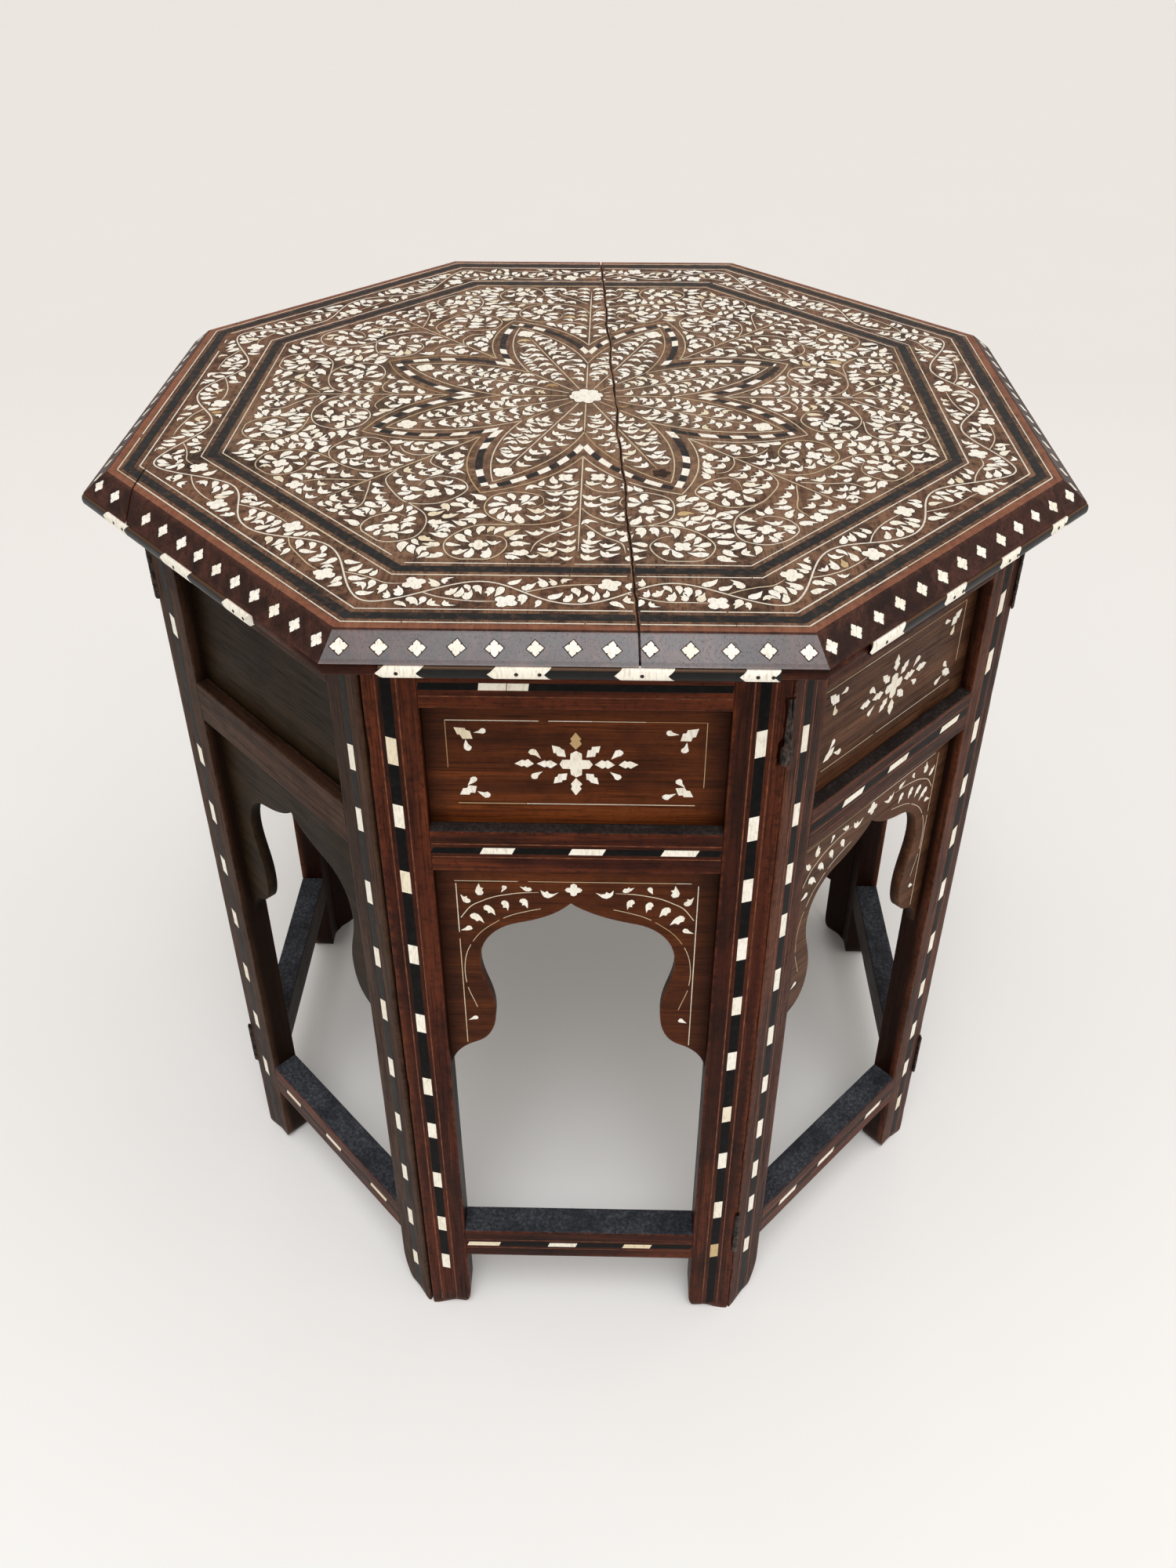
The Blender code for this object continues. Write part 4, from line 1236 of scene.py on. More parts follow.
def stem_on_top(path, width=0.95, tone=0.8, keep=True, margin=0.5):
    for run in split_path(path):
        strand(top_lines, run, width * MM, on_top, tone=tone + rng.uniform(-0.12, 0.10), taper=keep)
    cover.mark_path(path, (width + margin) * MM)
    if keep:
        stems.extend(resample(path, 0.004))


def grow(path, b, spacing, off, size, shapes, lean=52.0, start=0.010, sides=(1, -1), stagger=True, room=0.5):
    """Leaves along a stem, on both sides."""
    for k, (x, y, tx, ty) in enumerate(resample(path, spacing)):
        if k == 0 and start:
            continue
        for side in sides:
            sh = spacing * 0.45 if stagger and side < 0 else 0.0
            a = math.atan2(ty, tx) + math.radians(lean + rng.uniform(-9, 9)) * side
            s = size * rng.uniform(0.88, 1.12)
            px, py = x + tx * sh - ty * off * side, y + ty * sh + tx * off * side
            px, py = px + math.cos(a) * s * 0.30, py + math.sin(a) * s * 0.30
            poly = leaf_poly(rng.choice(shapes), px, py, a, s, side < 0)
            if cover.free(poly, room * MM):
                bone_on_top(poly, b)


def dashes(p, q, width, tone, lost=0.10):
    """A straight line of bone in lengths, with open butts and a few lost bits."""
    total, at = math.dist(p, q), 0.0
    while at < total:
        step = rng.uniform(0.10, 0.42) * U
        end = min(total, at + step)
        if end - at > 0.004:
            path = [lerp(p, q, (at + (end - at) * i / 60) / total) for i in range(61)]
            for run in split_path(path):
                strand(top_lines, [run[0], run[-1]], width * MM * rng.uniform(0.75, 1.15), on_top,
                       tone=min(1.0, tone + rng.uniform(-0.25, 0.2)))
        at = end + (rng.uniform(0.3, 0.8) * MM if rng.random() > lost else rng.uniform(2.0, 9.0) * MM)


for rad, width, tone in ((1.045, 0.8, 0.56), (1.0, 0.9, 0.50), (0.875, 0.85, 0.60), (0.83, 0.75, 0.64)):
    for j in range(8):
        p, q = side_point(j, rad * U, 0.0), side_point(j, rad * U, 1.0)
        dashes(p, q, width, tone, 0.16 if j in (0, 2) else 0.08)
        cover.mark_path([p, q], 1.8 * MM)
for rad, width in ((1.0235, 0.0225), (0.8525, 0.0225)):
    for j in range(8):
        at = 0.0
        while at < 0.999:
            end = min(1.0, at + rng.uniform(0.22, 0.5))
            if 1.0 - end < 0.12:
                end = 1.0
            g = 0.0008 if end < 1.0 else 0.0
            r0, r1 = (rad - width / 2) * U, (rad + width / 2) * U
            quad = [side_point(j, r1, at), side_point(j, r1, end - g), side_point(j, r0, end - g), side_point(j, r0, at)]
            cover.mark(quad)
            for part in split_at_joints(quad):
                slip(top_ebony, part, on_top, proud=0.05, chamfer=0.1, tone=rng.random(), rim=0.0)
            at = end

# ---- eight-petalled star
def petal_side(r0, r1, tip_deg, hand, bulge, n=30):
    v, t = spin((r0 * U, 0), tip_deg + 22.5 * hand), spin((r1 * U, 0), tip_deg)
    d = math.dist(v, t)
    nx, ny = (t[1] - v[1]) / d, -(t[0] - v[0]) / d
    g = spin((1, 0), tip_deg)
    away = v[0] * g[0] + v[1] * g[1]
    side = 1.0 if nx * (v[0] - away * g[0]) + ny * (v[1] - away * g[1]) > 0 else -1.0
    c = ((v[0] + t[0]) / 2 + nx * side * bulge * 2 * U, (v[1] + t[1]) / 2 + ny * side * bulge * 2 * U)
    return [tuple((1 - i / n) ** 2 * a + 2 * i / n * (1 - i / n) * b + (i / n) ** 2 * e for a, b, e in zip(v, c, t))
            for i in range(n + 1)]


def cut_path(path, s0, s1):
    """Stretch of a path between two distances along it."""
    out, run = [], 0.0
    for a, b in zip(path, path[1:]):
        d = math.dist(a, b)
        lo, hi = max(s0, run), min(s1, run + d)
        if hi > lo:
            if not out:
                out.append(lerp(a, b, (lo - run) / d))
            out.append(lerp(a, b, (hi - run) / d))
        run += d
    return out


def shifted(path, off):
    out = []
    for i, p in enumerate(path):
        a, c = path[max(i - 1, 0)], path[min(i + 1, len(path) - 1)]
        d = math.dist(a, c) or 1.0
        out.append((p[0] - (c[1] - a[1]) / d * off, p[1] + (c[0] - a[0]) / d * off))
    return out


petals = []
for j in range(8):
    tip = -67.5 + 45 * j
    inner = []
    for hand in (-1, 1):
        stem_on_top(petal_side(0.345, 0.572, tip, hand, 0.031), 0.8, 0.84, keep=False, margin=0.6)
        line = petal_side(0.214, 0.514, tip, hand, 0.030)
        stem_on_top(line, 0.8, 0.82, keep=False, margin=0.6)
        inner.append(line)
        mid = petal_side(0.280, 0.545, tip, hand, 0.0325)
        length = sum(math.dist(a, b) for a, b in zip(mid, mid[1:]))
        at, white = 0.010 * U, True
        while at < length - 0.010 * U:
            end = min(length - 0.008 * U, at + (0.038 if white else 0.032) * U * rng.uniform(0.85, 1.15))
            w, sl = 0.0084 * U, 0.0070 * U * hand
            a = cut_path(shifted(mid, w), at + sl, end + sl)
            c = cut_path(shifted(mid, -w), at - sl, end - sl)
            if len(a) > 1 and len(c) > 1:
                poly = tidy(a + c[::-1], 0.0004)
                cover.mark(poly)
                lost = white and rng.random() < 0.10
                for part in split_at_joints(poly):
                    if white and not lost:
                        slip(petal_bone, part, on_top, tone=rng.uniform(0.05, 0.66))
                    else:
                        slip(top_ebony, part, on_top, proud=0.05, chamfer=0.1, tone=rng.random(), rim=0.0)
            at, white = end + 0.0006 * U, not white
    petals.append((tip, inner[0] + inner[1][::-1]))

rose = flower_poly(0.0, 0.0, 0.2, 0.043 * U, 8, 0.20, 0.7)
bone_on_top(rose, petal_bone, 0.3, 0.5)
for j in range(8):
    tip = -67.5 + 45 * j
    g = spin((1, 0), tip)
    stem_on_top([(g[0] * r * U, g[1] * r * U) for r in np.linspace(0.048, 0.438, 60)], 0.75, 0.80)
    v = spin((1, 0), tip + 22.5)
    stem_on_top([(v[0] * r * U, v[1] * r * U) for r in np.linspace(0.048, 0.21, 30)], 0.75, 0.80)
    if j == 0:
        f = flower_poly(g[0] * 0.462 * U, g[1] * 0.462 * U, math.radians(tip), 0.0225 * U, 5, 0.30, 0.9)
        cover.mark(f)
        slip(top_fill, f, on_top, proud=0.03, sink=0.5, chamfer=0)
    else:
        f = flower_poly(g[0] * 0.462 * U, g[1] * 0.462 * U, math.radians(tip + rng.uniform(-8, 8)), 0.0245 * U, 4, 0.26, 0.9)
        bone_on_top(f, petal_bone, rng.uniform(0.1, 0.6))


def within(poly, x, y):
    odd = False
    for (x1, y1), (x2, y2) in zip(poly, poly[1:] + poly[:1]):
        if (y1 > y) != (y2 > y) and x < (x2 - x1) * (y - y1) / (y2 - y1) + x1:
            odd = not odd
    return odd


def chevron_rows(b, axis_deg, rows, offs, size, keep, forward=0.30, room=0.45):
    """Pairs of crescent leaves standing off a straight rib, row behind row."""
    g, n = spin((1, 0), axis_deg), spin((0, 1), axis_deg)
    for r in rows:
        for side in (1, -1):
            for off in offs:
                rr = (r + forward * off + rng.uniform(-0.003, 0.003)) * U
                o = (off + rng.uniform(-0.0025, 0.0025)) * U * side
                x, y = g[0] * rr + n[0] * o, g[1] * rr + n[1] * o
                s = size * U * rng.uniform(0.88, 1.1)
                a = math.atan2(n[1] * side, n[0] * side) + math.radians(14 + rng.uniform(-9, 9)) * -side
                for shrink in (1.0, 0.82, 0.66):
                    poly = leaf_poly(BIRD, x, y, a, s * shrink, side > 0)
                    if cover.free(poly, room * MM, keep):
                        bone_on_top(poly, b)
                        break


star_inside = cover.paint(cover.blank(), [spin((0.212 * U, 0), 5 * i) for i in range(72)], True)
for tip, shape in petals:
    cover.paint(star_inside, shape, True)
for tip, shape in petals:
    chevron_rows(petal_bone, tip, np.arange(0.078, 0.47, 0.0365), (0.0235, 0.0600, 0.095), 0.0375, star_inside, room=0.5)
for j in range(8):
    chevron_rows(petal_bone, -90 + 45 * j, np.arange(0.100, 0.205, 0.0365), (0.0225,), 0.034, star_inside, room=0.5)


# ---- scrolling field between the star and the banding
def plan(px, py):
    """Study-plan point of the front sector to metres on the top."""
    return ((px - 784) / 1568 * U, -py / 1568 * U)


SCROLL_A = [(776, 935), (742, 1000), (665, 1042), (565, 1050), (492, 1002), (465, 925), (488, 852), (560, 820),
            (636, 848), (656, 900), (622, 944)]
SCROLL_B = [(566, 1050), (455, 1057), (383, 1112), (355, 1182), (388, 1255), (458, 1283), (528, 1262), (558, 1192),
            (532, 1132), (482, 1116)]
SPUR_C = [(772, 1050), (702, 1120), (652, 1170), (634, 1225)]
TWIG_D = [(776, 760), (742, 800), (690, 815), (640, 800)]


field = cover.paint(cover.blank(), [corner(0.816 * U, 22.5 + 45 * i) for i in range(8)], True)
for j in range(8):
    tip = -67.5 + 45 * j
    star = petal_side(0.338, 0.580, tip, -1, 0.031)[:-1] + petal_side(0.338, 0.580, tip, 1, 0.031)[::-1]
    cover.paint(field, star + [(0.0, 0.0)], False)

sector_paths = []
for j in range(8):
    turn_deg = 45 * j
    path = [spin(plan(784, y), turn_deg) for y in np.linspace(552, 1222, 90)]
    stem_on_top(path, 0.8, 0.74)
    d = flower_poly(*spin(plan(788, 1263), turn_deg), math.radians(turn_deg), 0.0230 * U, 4, 0.42, 1.0)
    if cover.free(d):
        bone_on_top(d, field_bone, rng.uniform(0.0, 0.5))
    for hand in (1, -1):
        jit = lambda pts, a: [(784 + hand * (x - 784) + rng.uniform(-a, a), y + rng.uniform(-a, a)) for x, y in pts]
        for pts, flower, r in ((SCROLL_A, (556, 946), 0.0200), (SCROLL_B, (458, 1190), 0.0200), (SPUR_C, (640, 1256), 0.0195),
                               (TWIG_D, None, 0)):
            pts = jit(pts, 7)
            path = spline([spin(plan(*p), turn_deg) for p in pts], 0.0012)
            path = [p for p in path if cover.at(field, *p)]
            stem_on_top(path, 0.7, 0.76, margin=0.2)
            sector_paths.append(path)
            if flower:
                x, y = jit([flower], 8)[0]
                f = flower_poly(*spin(plan(x, y), turn_deg), math.radians(turn_deg + rng.uniform(0, 90)), r * U, 4, 0.40, 0.9)
                if cover.free(f, 0.0, field):
                    bone_on_top(f, field_bone, rng.uniform(0.0, 0.55))
        x, y = jit([(725, 708)], 5)[0]
        f = flower_poly(*spin(plan(x, y), turn_deg), math.radians(turn_deg + 45), 0.019 * U, 4, 0.40, 0.9)
        if cover.free(f):
            bone_on_top(f, field_bone, rng.uniform(0.0, 0.5))
for j in range(8):
    chevron_rows(field_bone, -90 + 45 * j, np.arange(0.405, 0.80, 0.0325), (0.0225, 0.0570, 0.0900), 0.0355, field, 0.42, 0.5)
for path in sector_paths:
    grow(path, field_bone, 0.0340 * U, 0.0125 * U, 0.0355 * U, (COMMA, BIRD, COMMA, DROP_LEAF), room=0.55)


def fill_in(b, keep, step, sizes, shapes, lean, room, tries=3, spread=22):
    """Leaves in the gaps that are left, turned like their nearest stem."""
    near = np.array(stems)
    js, is_ = np.nonzero(keep)
    x0, x1, y0, y1 = (v * cover.cell - cover.half for v in (is_.min(), is_.max(), js.min(), js.max()))
    spots = []
    for y in np.arange(y0, y1, step):
        for x in np.arange(x0, x1, step):
            p = (x + rng.uniform(-0.4, 0.4) * step, y + rng.uniform(-0.4, 0.4) * step)
            if cover.at(keep, *p) and not cover.taken(*p):
                spots.append(p)
    rng.shuffle(spots)
    turned = []
    for x, y in spots:
        k = int(np.argmin((near[:, 0] - x) ** 2 + (near[:, 1] - y) ** 2))
        sx, sy, tx, ty = near[k]
        turned.append((x, y, math.atan2(ty, tx), 1 if (x - sx) * -ty + (y - sy) * tx > 0 else -1))
    for size in sizes:
        for x, y, a0, side in turned:
            if cover.taken(x, y):
                continue
            for _ in range(tries):
                a = a0 + side * math.radians(lean + rng.uniform(-spread, spread))
                c, d = math.cos(a) * size * U * 0.36, math.sin(a) * size * U * 0.36
                if any(cover.taken(x + c * e, y + d * e) or not cover.at(keep, x + c * e, y + d * e) for e in (-1.0, 0.8, -0.5, 0.45)):
                    continue
                poly = leaf_poly(rng.choice(shapes), x, y, a, size * U * rng.uniform(0.92, 1.08), side < 0)
                if cover.free(poly, room * MM, keep):
                    bone_on_top(poly, b)
                    break


fill_in(field_bone, field, 0.0026, (0.0345, 0.0300, 0.0255), (COMMA, BIRD, DROP_LEAF), 55, 0.72)
petal_mask = cover.blank()
for tip, shape in petals:
    cover.paint(petal_mask, shape, True)
fill_in(petal_bone, petal_mask, 0.0032, (0.030, 0.024), (BIRD, DROP_LEAF), 70, 0.8)

# ---- running vine in the border
def ring_point(j, tau, r):
    return spin((tau * r * T225 * U, -r * U), 45 * j)


border = cover.paint(cover.blank(), [corner(0.990 * U, 22.5 + 45 * i) for i in range(8)], True)
cover.paint(border, [corner(0.886 * U, 22.5 + 45 * i) for i in range(8)], False)
vine = []
for j in range(8):
    for i in range(80):
        tau = -1 + 2 * i / 80
        vine.append(ring_point(j, tau, 0.9385 + 0.0420 * math.cos(2 * math.pi * tau) + rng.uniform(-0.0008, 0.0008)))
m = len(vine)
for _ in range(3):
    vine = [tuple((vine[i - 2][q] + vine[i - 1][q] + vine[i][q] * 2 + vine[(i + 1) % m][q] + vine[(i + 2) % m][q]) / 6 for q in (0, 1))
            for i in range(m)]
fine = []
for a, b in zip(vine, vine[1:] + vine[:1]):
    n = max(1, int(math.dist(a, b) / 0.0011))
    fine += [lerp(a, b, i / n) for i in range(n)]
first_border = len(stems)
for s in range(0, len(fine), 60):
    stem_on_top(fine[s:s + 61] if s + 61 < len(fine) else fine[s:] + fine[:1], 1.0, 0.55, keep=False)
stems.extend(resample(fine, 0.004))
sprays = []
for j in range(8):
    for base, sign in ((0.0, -1), (0.5, 1), (1.0, -1), (-0.5, 1)):
        if base == 1.0:
            continue
        pts = []
        for dt, dr in ((-0.25, 0.002), (-0.17, 0.016), (-0.07, 0.027), (0.04, 0.031), (0.125, 0.030)):
            pts.append(ring_point(j, base + dt, 0.9385 + sign * (dr + rng.uniform(-0.002, 0.002))))
        fl = ring_point(j, base + 0.172, 0.9385 + sign * 0.031)
        sprays.append((pts, fl, 45 * j))
    pts = [ring_point(j, 1 + dt, 0.9385 - dr) if dt < 0 else ring_point((j + 1) % 8, -1 + dt, 0.9385 - dr)
           for dt, dr in ((-0.25, 0.002), (-0.17, 0.016), (-0.08, 0.027), (0.02, 0.031), (0.11, 0.030))]
    sprays.append((pts, ring_point((j + 1) % 8, -1 + 0.165, 0.9385 - 0.031), 45 * j + 22))
for pts, fl, ang in sprays:
    f = flower_poly(fl[0], fl[1], math.radians(ang + rng.uniform(20, 70)), 0.0235 * U, 4, 0.38, 0.9)
    if cover.free(f, 0.0, border):
        bone_on_top(f, border_bone, rng.uniform(0.0, 0.5))
    path = spline(pts, 0.0012)
    stem_on_top(path, 0.7, 0.72, margin=0.2)
    grow(path, border_bone, 0.0285 * U, 0.0105 * U, 0.0315 * U, (COMMA, COMMA, DROP_LEAF, BIRD), lean=50, room=0.45)
grow(fine, border_bone, 0.0320 * U, 0.0120 * U, 0.0310 * U, (COMMA, DROP_LEAF), lean=48, room=0.55)
fill_in(border_bone, border, 0.0026, (0.0310, 0.0270, 0.0235), (COMMA, BIRD, DROP_LEAF), 50, 0.6)

field_bone.make("top_field_bone", M_BONE, "bone", "top")
petal_bone.make("top_star_bone", M_BONE, "bone", "top")
border_bone.make("top_border_bone", M_BONE, "bone", "top")
top_fill.make("top_bedding", M_FILL, "ebony", "top")
top_lines.make("top_line_bone", M_BONE, "bone", "top")
top_ebony.make("top_bands_ebony", M_BAND, "ebony", "top")

# ---- quatrefoils along the bevelled rim
bevel_bone, bevel_fill = Build(), Build()
for j in range(8):
    c, s = math.cos(math.radians(-90 + 45 * j)), math.sin(math.radians(-90 + 45 * j))
    out, along = Vector((c, s, 0)), Vector((-s, c, 0))
    slope_up = (-out * BEVEL_RUN + Vector((0, 0, BEVEL_DROP))) / slope
    normal = (out * BEVEL_DROP + Vector((0, 0, BEVEL_RUN))) / slope
    mid = out * (A - BEVEL_RUN / 2) + Vector((0, 0, TOP_Z0 + DROP + BEVEL_DROP / 2))

    def on_bevel(x, y, h):
        return tuple(mid + along * x + slope_up * y + normal * h)

    for i in range(13):
        x, y = (-116.2 + 19.36 * i + rng.uniform(-0.8, 0.8)) * MM, rng.uniform(-0.5, 0.5) * MM
        p = on_bevel(x, y, 0.0)
        if any(abs(p[0] - joint_x(q, p[1], 0.0, 0.0)) < 0.0052 for q in (MAIN_JOINT, LEFT_JOINT)):
            continue
        turn_in = rng.uniform(-0.10, 0.10)
        r = 4.55 * MM * rng.uniform(0.93, 1.05)
        notched = []
        for e in range(4):
            a = turn_in + math.pi / 2 * e
            for da, q in ((0.0, 1.0), (math.radians(11), 0.86), (math.radians(35), 0.725), (math.radians(45), 0.56),
                          (math.radians(55), 0.725), (math.radians(79), 0.86)):
                q *= r * rng.uniform(0.97, 1.03)
                notched.append((x + q * math.cos(a + da), y + q * math.sin(a + da)))
        slip(bevel_bone, notched, on_bevel, tone=rng.uniform(0.0, 0.66), rim=0.35)
        d = r + 0.75 * MM
        ring = [(x + d * math.cos(turn_in + math.pi / 2 * e), y + d * math.sin(turn_in + math.pi / 2 * e)) for e in range(4)]
        slip(bevel_fill, ring, on_bevel, proud=0.03, sink=0.5, chamfer=0)
bevel_bone.make("rim_quatrefoils_bone", M_BONE, "bone", "top")
bevel_fill.make("rim_quatrefoil_bedding", M_FILL, "ebony", "top")

# ---------------------------------------------------------------- inlay of the leaves
TEAR = [(-0.5, 0.0), (-0.43, -0.21), (-0.22, -0.30), (0.02, -0.20), (0.50, 0.04), (0.02, 0.12), (-0.22, 0.24), (-0.43, 0.18)]
SPEAR = [(-0.5, 0.0), (-0.16, -0.26), (0.02, -0.17), (0.12, -0.24), (0.5, 0.0), (0.12, 0.25), (0.0, 0.17), (-0.16, 0.27)]


def between(shape, tail, tip, fat=1.0):
    """A leaf shape laid from one point to another (mm)."""
    (x0, y0), (x1, y1) = tail, tip
    d = math.dist(tail, tip) * MM
    a = math.atan2(y1 - y0, x1 - x0)
    c, s = math.cos(a) * d, math.sin(a) * d
    mx, my = (x0 + x1) / 2 * MM, (y0 + y1) / 2 * MM
    return [(mx + px * c - py * fat * s, my + px * s + py * fat * c)
            for px, py in ((p + rng.uniform(-0.03, 0.03), q + rng.uniform(-0.03, 0.03)) for p, q in shape)]


def strip(bone_b, ebony_b, place, vertical, centre, width, lo, hi, blocks, slant=0.9, missing=()):
    """A banding of ebony lengths and bone blocks between lo and hi (mm)."""
    def quad(a, b, g=0.15):
        w = width / 2
        if vertical:
            q = [(centre - w, a - slant), (centre + w, a + slant), (centre + w, b + slant), (centre - w, b - slant)]
        else:
            q = [(a - slant, centre - w), (b - slant, centre - w), (b + slant, centre + w), (a + slant, centre + w)]
        return [(x * MM, y * MM) for x, y in q]
    at = lo
    for a, b, tone in blocks:
        if a - at > 1.5 and not any(m0 < (a + at) / 2 < m1 for m0, m1 in missing):
            slip(ebony_b, quad(at + 0.1, a - 0.1), place, proud=0.06, chamfer=0.12, tone=rng.random(), rim=0.0)
        slip(bone_b, quad(a, b), place, tone=tone, chamfer=0.16)
        at = b
    if hi - at > 1.5 and not any(m0 < (hi + at) / 2 < m1 for m0, m1 in missing):
        slip(ebony_b, quad(at + 0.1, hi - 0.1), place, proud=0.06, chamfer=0.12, tone=rng.random(), rim=0.0)


def lengths(b, place, p, q, width, tone=0.5, lost=0.12, step=(28, 80)):
    """A straight string in lengths, with a few lost bits (mm)."""
    total, at = math.dist(p, q), 0.0
    while at < total:
        end = min(total, at + rng.uniform(*step))
        if end - at > 2:
            a, c = lerp(p, q, at / total), lerp(p, q, end / total)
            strand(b, [(a[0] * MM, a[1] * MM), (c[0] * MM, c[1] * MM)], width * MM, place, proud=0.05,
                   tone=min(1.0, max(0.0, tone + rng.uniform(-0.2, 0.2))))
        at = end + (0.25 if rng.random() > lost else rng.uniform(2, 7))


def bits(centres, size=18.0):
    out = []
    for c in sorted(centres):
        h = size * rng.uniform(0.88, 1.08) / 2
        q = rng.random()
        out.append((c - h, c + h, rng.uniform(0.15, 0.7) if q < 0.8 else rng.uniform(0.7, 0.95)))
    return out


def spaced(lo, hi, step):
    out, c = [], lo + rng.uniform(0.2, 0.9) * step
    while c < hi - 10:
        out.append(c)
        c += step * rng.uniform(0.88, 1.12)
    return out


def on_frame(u, z, h):
    return (u, -h, z)


def on_board(u, z, h):
    return (u, BOARD_V0 - h, z)


STILE_BITS = {(0, -1): (57, 105, 158, 214, 261, 324, 387, 448, 499, 546),
              (0, 1): (77, 128, 186, 237, 292, 345, 396, 445, 493, 554),
              (7, -1): (84, 142, 198, 258, 313, 365, 418, 526), (7, 1): (44, 97, 151, 209, 267, 324, 373, 429, 487, 533),
              (1, -1): (69, 121, 162, 208, 256, 305, 358, 406, 449, 495, 550),
              (1, 1): (50, 95, 142, 191, 243, 299, 351, 399, 448, 505, 550)}
for k, leaf in enumerate(LEAVES):
    bone_b, ebony_b, string_b = Build(), Build(), Build()
    for side in (-1, 1):
        u = side * 100.0
        cs = STILE_BITS.get((k, side)) or spaced(30, 596, 52)
        lost = [(0, 46)] if (k, side) == (0, -1) else []
        strip(bone_b, ebony_b, on_frame, True, u, 5.7, 7.0, 612.0, bits(cs), 0.9 * side, lost)
        for o in (-5.6, 5.6) if k != 7 else ():
            lengths(string_b, on_frame, (u + o, 6.0), (u + o, 612.0), 0.8, 0.5, 0.05, (60, 200))
    st = [(-82.0, -58.5, 0.75), (-22.4, -2.0, 0.55), (32.7, 53.0, 0.8)] if k == 0 else \
        [(c - 10, c + 10, rng.uniform(0.3, 0.85)) for c in (-55 + rng.uniform(-9, 9), rng.uniform(-8, 8), 52 + rng.uniform(-9, 9))]
    strip(bone_b, ebony_b, on_frame, False, 80.3, 4.6, -83.2, 83.2, st, 0.8)
    for z in (75.6, 85.2):
        lengths(string_b, on_frame, (-83, z), (83, z), 0.7, 0.4, 0.05, (40, 120))
    if k != 7:
        mid = [(-54.5, -36, 0.3), (-3.5, 16, 0.4), (49.5, 69.5, 0.3)] if k == 0 else \
            [(c - 10, c + 10, rng.uniform(0.2, 0.8)) for c in (-46 + rng.uniform(-6, 6), 5 + rng.uniform(-6, 6), 58 + rng.uniform(-5, 5))]
        strip(bone_b, ebony_b, on_frame, False, 473.6, 4.7, -83.2, 83.2, mid, 1.1)
        for z, t in ((478.6, 0.65), (468.7, 0.35)):
            lengths(string_b, on_frame, (-83, z), (83, z), 0.8, t, 0.05, (40, 120))
        head = [(-51, -36.2, 0.5), (-35.8, -24.5, 0.6)] + ([] if k == 0 else [(0, 22, 0.4), (46, 66, 0.5)])
        strip(bone_b, ebony_b, on_frame, False, 590.1, 4.7, -83.2, 83.2, head, 0.3)
        lengths(string_b, on_frame, (-83, 583.6), (83, 583.6), 0.8, 0.5, 0.05, (40, 120))

        # recessed field: line frame, flower spray and corner sprigs
        cz = 531.0
        for a, b, w in (((-67, 502), (67, 502), 0.50), ((-71.5, 561), (9, 561), 0.48), ((9.3, 561), (71.5, 561), 0.34),
                        ((-71.5, 528), (-71.5, 561), 0.45), ((71.5, 515), (71.5, 561), 0.38)):
            lengths(bone_b, on_board, a, b, w if k == 0 else w * 0.9, 0.80 if k == 0 else 0.76, 0.10, (22, 70))

        def piece(poly, tone=None):
            slip(bone_b, poly, on_board, tone=old_tone() if tone is None else tone)

        piece(flower_poly(0, cz * MM, 0.0, 9.3 * MM, 4, 0.50, 0.85), 0.55)
        piece(between(SPEAR, (0, cz + 10.4), (0, cz + 22.8), 0.95), 0.93 if k == 0 else None)
        piece(between(SPEAR, (0, cz - 10.0), (0, cz - 22.3), 1.0), 0.5)
        for m in (-1, 1):
            for shape, tail, tip, fat in (
                    (SPEAR, (5.6, 5.4), (13.6, 13.2), 1.0), (SPEAR, (5.2, -6.3), (12.6, -14.0), 1.0),
                    (SPEAR, (10.6, 0.0), (21.9, 0.2), 1.0), (SPEAR, (23.4, 0.2), (34.2, 0.4), 1.0),
                    (TEAR, (25.6, 9.8), (19.0, 4.0), 1.0), (TEAR, (24.6, -10.4), (19.0, -5.1), 1.0),
                    (SPEAR, (57.0, 17.0), (67.0, 25.6), 1.0), (TEAR, (49.4, 23.4), (56.2, 21.4), 1.0), (TEAR, (59.0, 9.0), (61.2, 16.6), 1.0),
                    (SPEAR, (55.8, -16.6), (65.9, -23.0), 1.0), (TEAR, (56.6, -9.9), (60.8, -16.2), 1.0), (TEAR, (48.6, -23.4), (56.3, -20.6), 1.0)):
                piece(between(shape, (m * tail[0], cz + tail[1]), (m * tip[0], cz + tip[1]), fat if m > 0 else -fat))

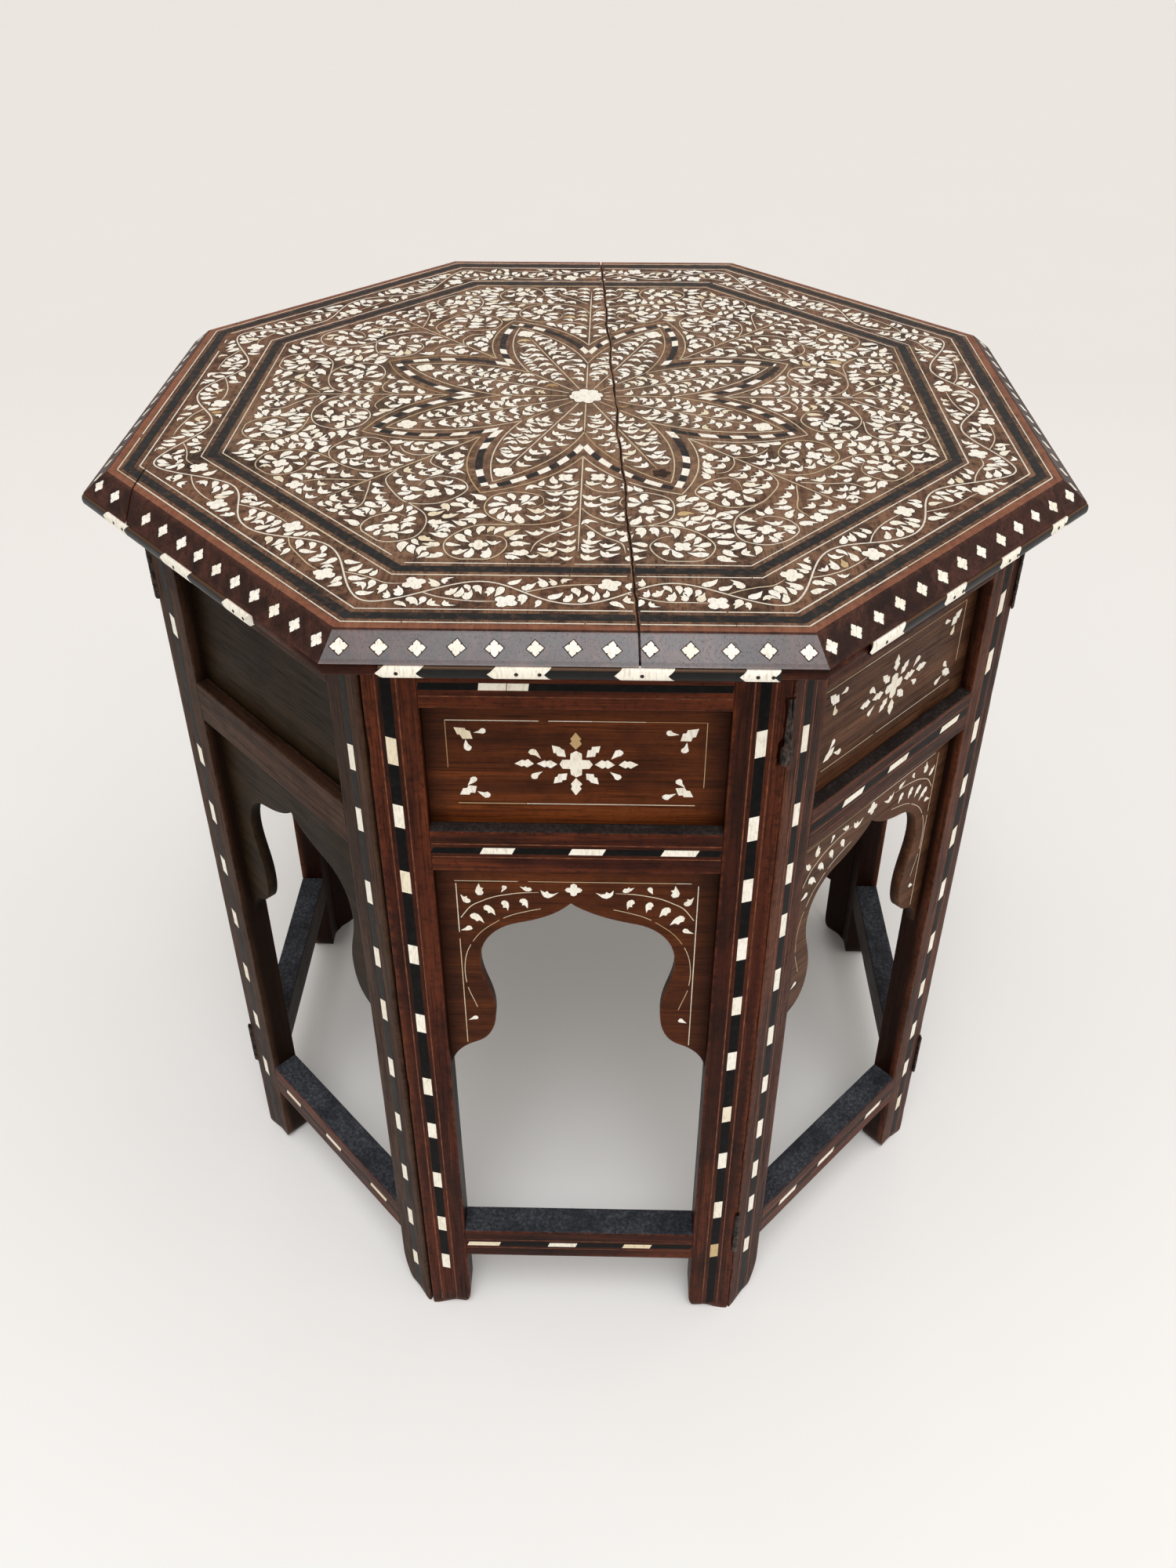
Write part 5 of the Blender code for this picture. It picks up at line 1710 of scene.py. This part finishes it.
        # spandrel: lines, vine over the arch, fleur above its point
        lengths(bone_b, on_board, (-73, 441), (68, 441), 0.44, 0.80, 0.1, (25, 70))
        for m in (-1, 1):
            lengths(bone_b, on_board, (m * 72.2, 439), (m * 72.2, 296), 0.54, 0.68, 0.08, (25, 60))
            vine_pts = [(-70.6, 410.4), (-64.4, 419.8), (-58.5, 423.9), (-50.3, 428.0), (-42.3, 430.1), (-34.2, 431.6), (-23.0, 432.2)]
            strand(bone_b, spline([(-m * x * MM, z * MM) for x, z in vine_pts], 0.0015), 0.58 * MM, on_board, tone=0.74, taper=True)
            line_pts = [(-22, 418.6), (-30, 416.4), (-41, 412.4), (-51, 405.6), (-60.2, 396.5), (-67.6, 382.5), (-70.4, 367.0),
                        (-69.6, 350.0), (-65.6, 335.0), (-64.2, 330.0)]
            arc = spline([(-m * x * MM, z * MM) for x, z in line_pts], 0.0015)
            for a, b in ((0, 16), (17, 34), (35, 58), (60, 200)):
                if len(arc[a:b]) > 2:
                    strand(bone_b, arc[a:b], 0.44 * MM, on_board, tone=rng.uniform(0.70, 0.92))
            for shape, tail, tip in (
                    (COMMA, (-63.9, 424.0), (-70.6, 427.2)), (COMMA, (-57.0, 429.6), (-60.8, 437.2)), (TEAR, (-43.0, 437.6), (-45.2, 431.8)),
                    (COMMA, (-27.0, 435.0), (-33.6, 434.6)), (COMMA, (-65.4, 411.8), (-56.2, 409.6)), (COMMA, (-56.6, 419.4), (-48.8, 415.8)),
                    (COMMA, (-45.8, 424.4), (-40.0, 419.0)), (COMMA, (-34.4, 426.2), (-28.6, 421.2)), (BIRD, (-22.2, 432.6), (-12.8, 429.6)),
                    (TEAR, (-64.4, 402.6), (-71.0, 399.0)), (TEAR, (-64.8, 321.0), (-70.2, 317.2))):
                poly = between(shape, (-m * tail[0], tail[1]), (-m * tip[0], tip[1]), 1.0 if m > 0 else -1.0)
                piece(poly)
        piece(flower_poly(-0.002, 0.4345, math.pi / 2, 5.2 * MM, 4, 0.42, 1.0), 0.3)
    body, at = leaf + "_leaf", leaf_matrix(k)
    bone_b.make(f"{leaf}_bone_inlay", M_BONE, "bone", body, at)
    ebony_b.make(f"{leaf}_ebony_inlay", M_EBONY_PAINTED_SHEEN if k == 7 else M_EBONY, "ebony", body, at)
    string_b.make(f"{leaf}_stringing", M_STRING, "wood_frame", body, at)
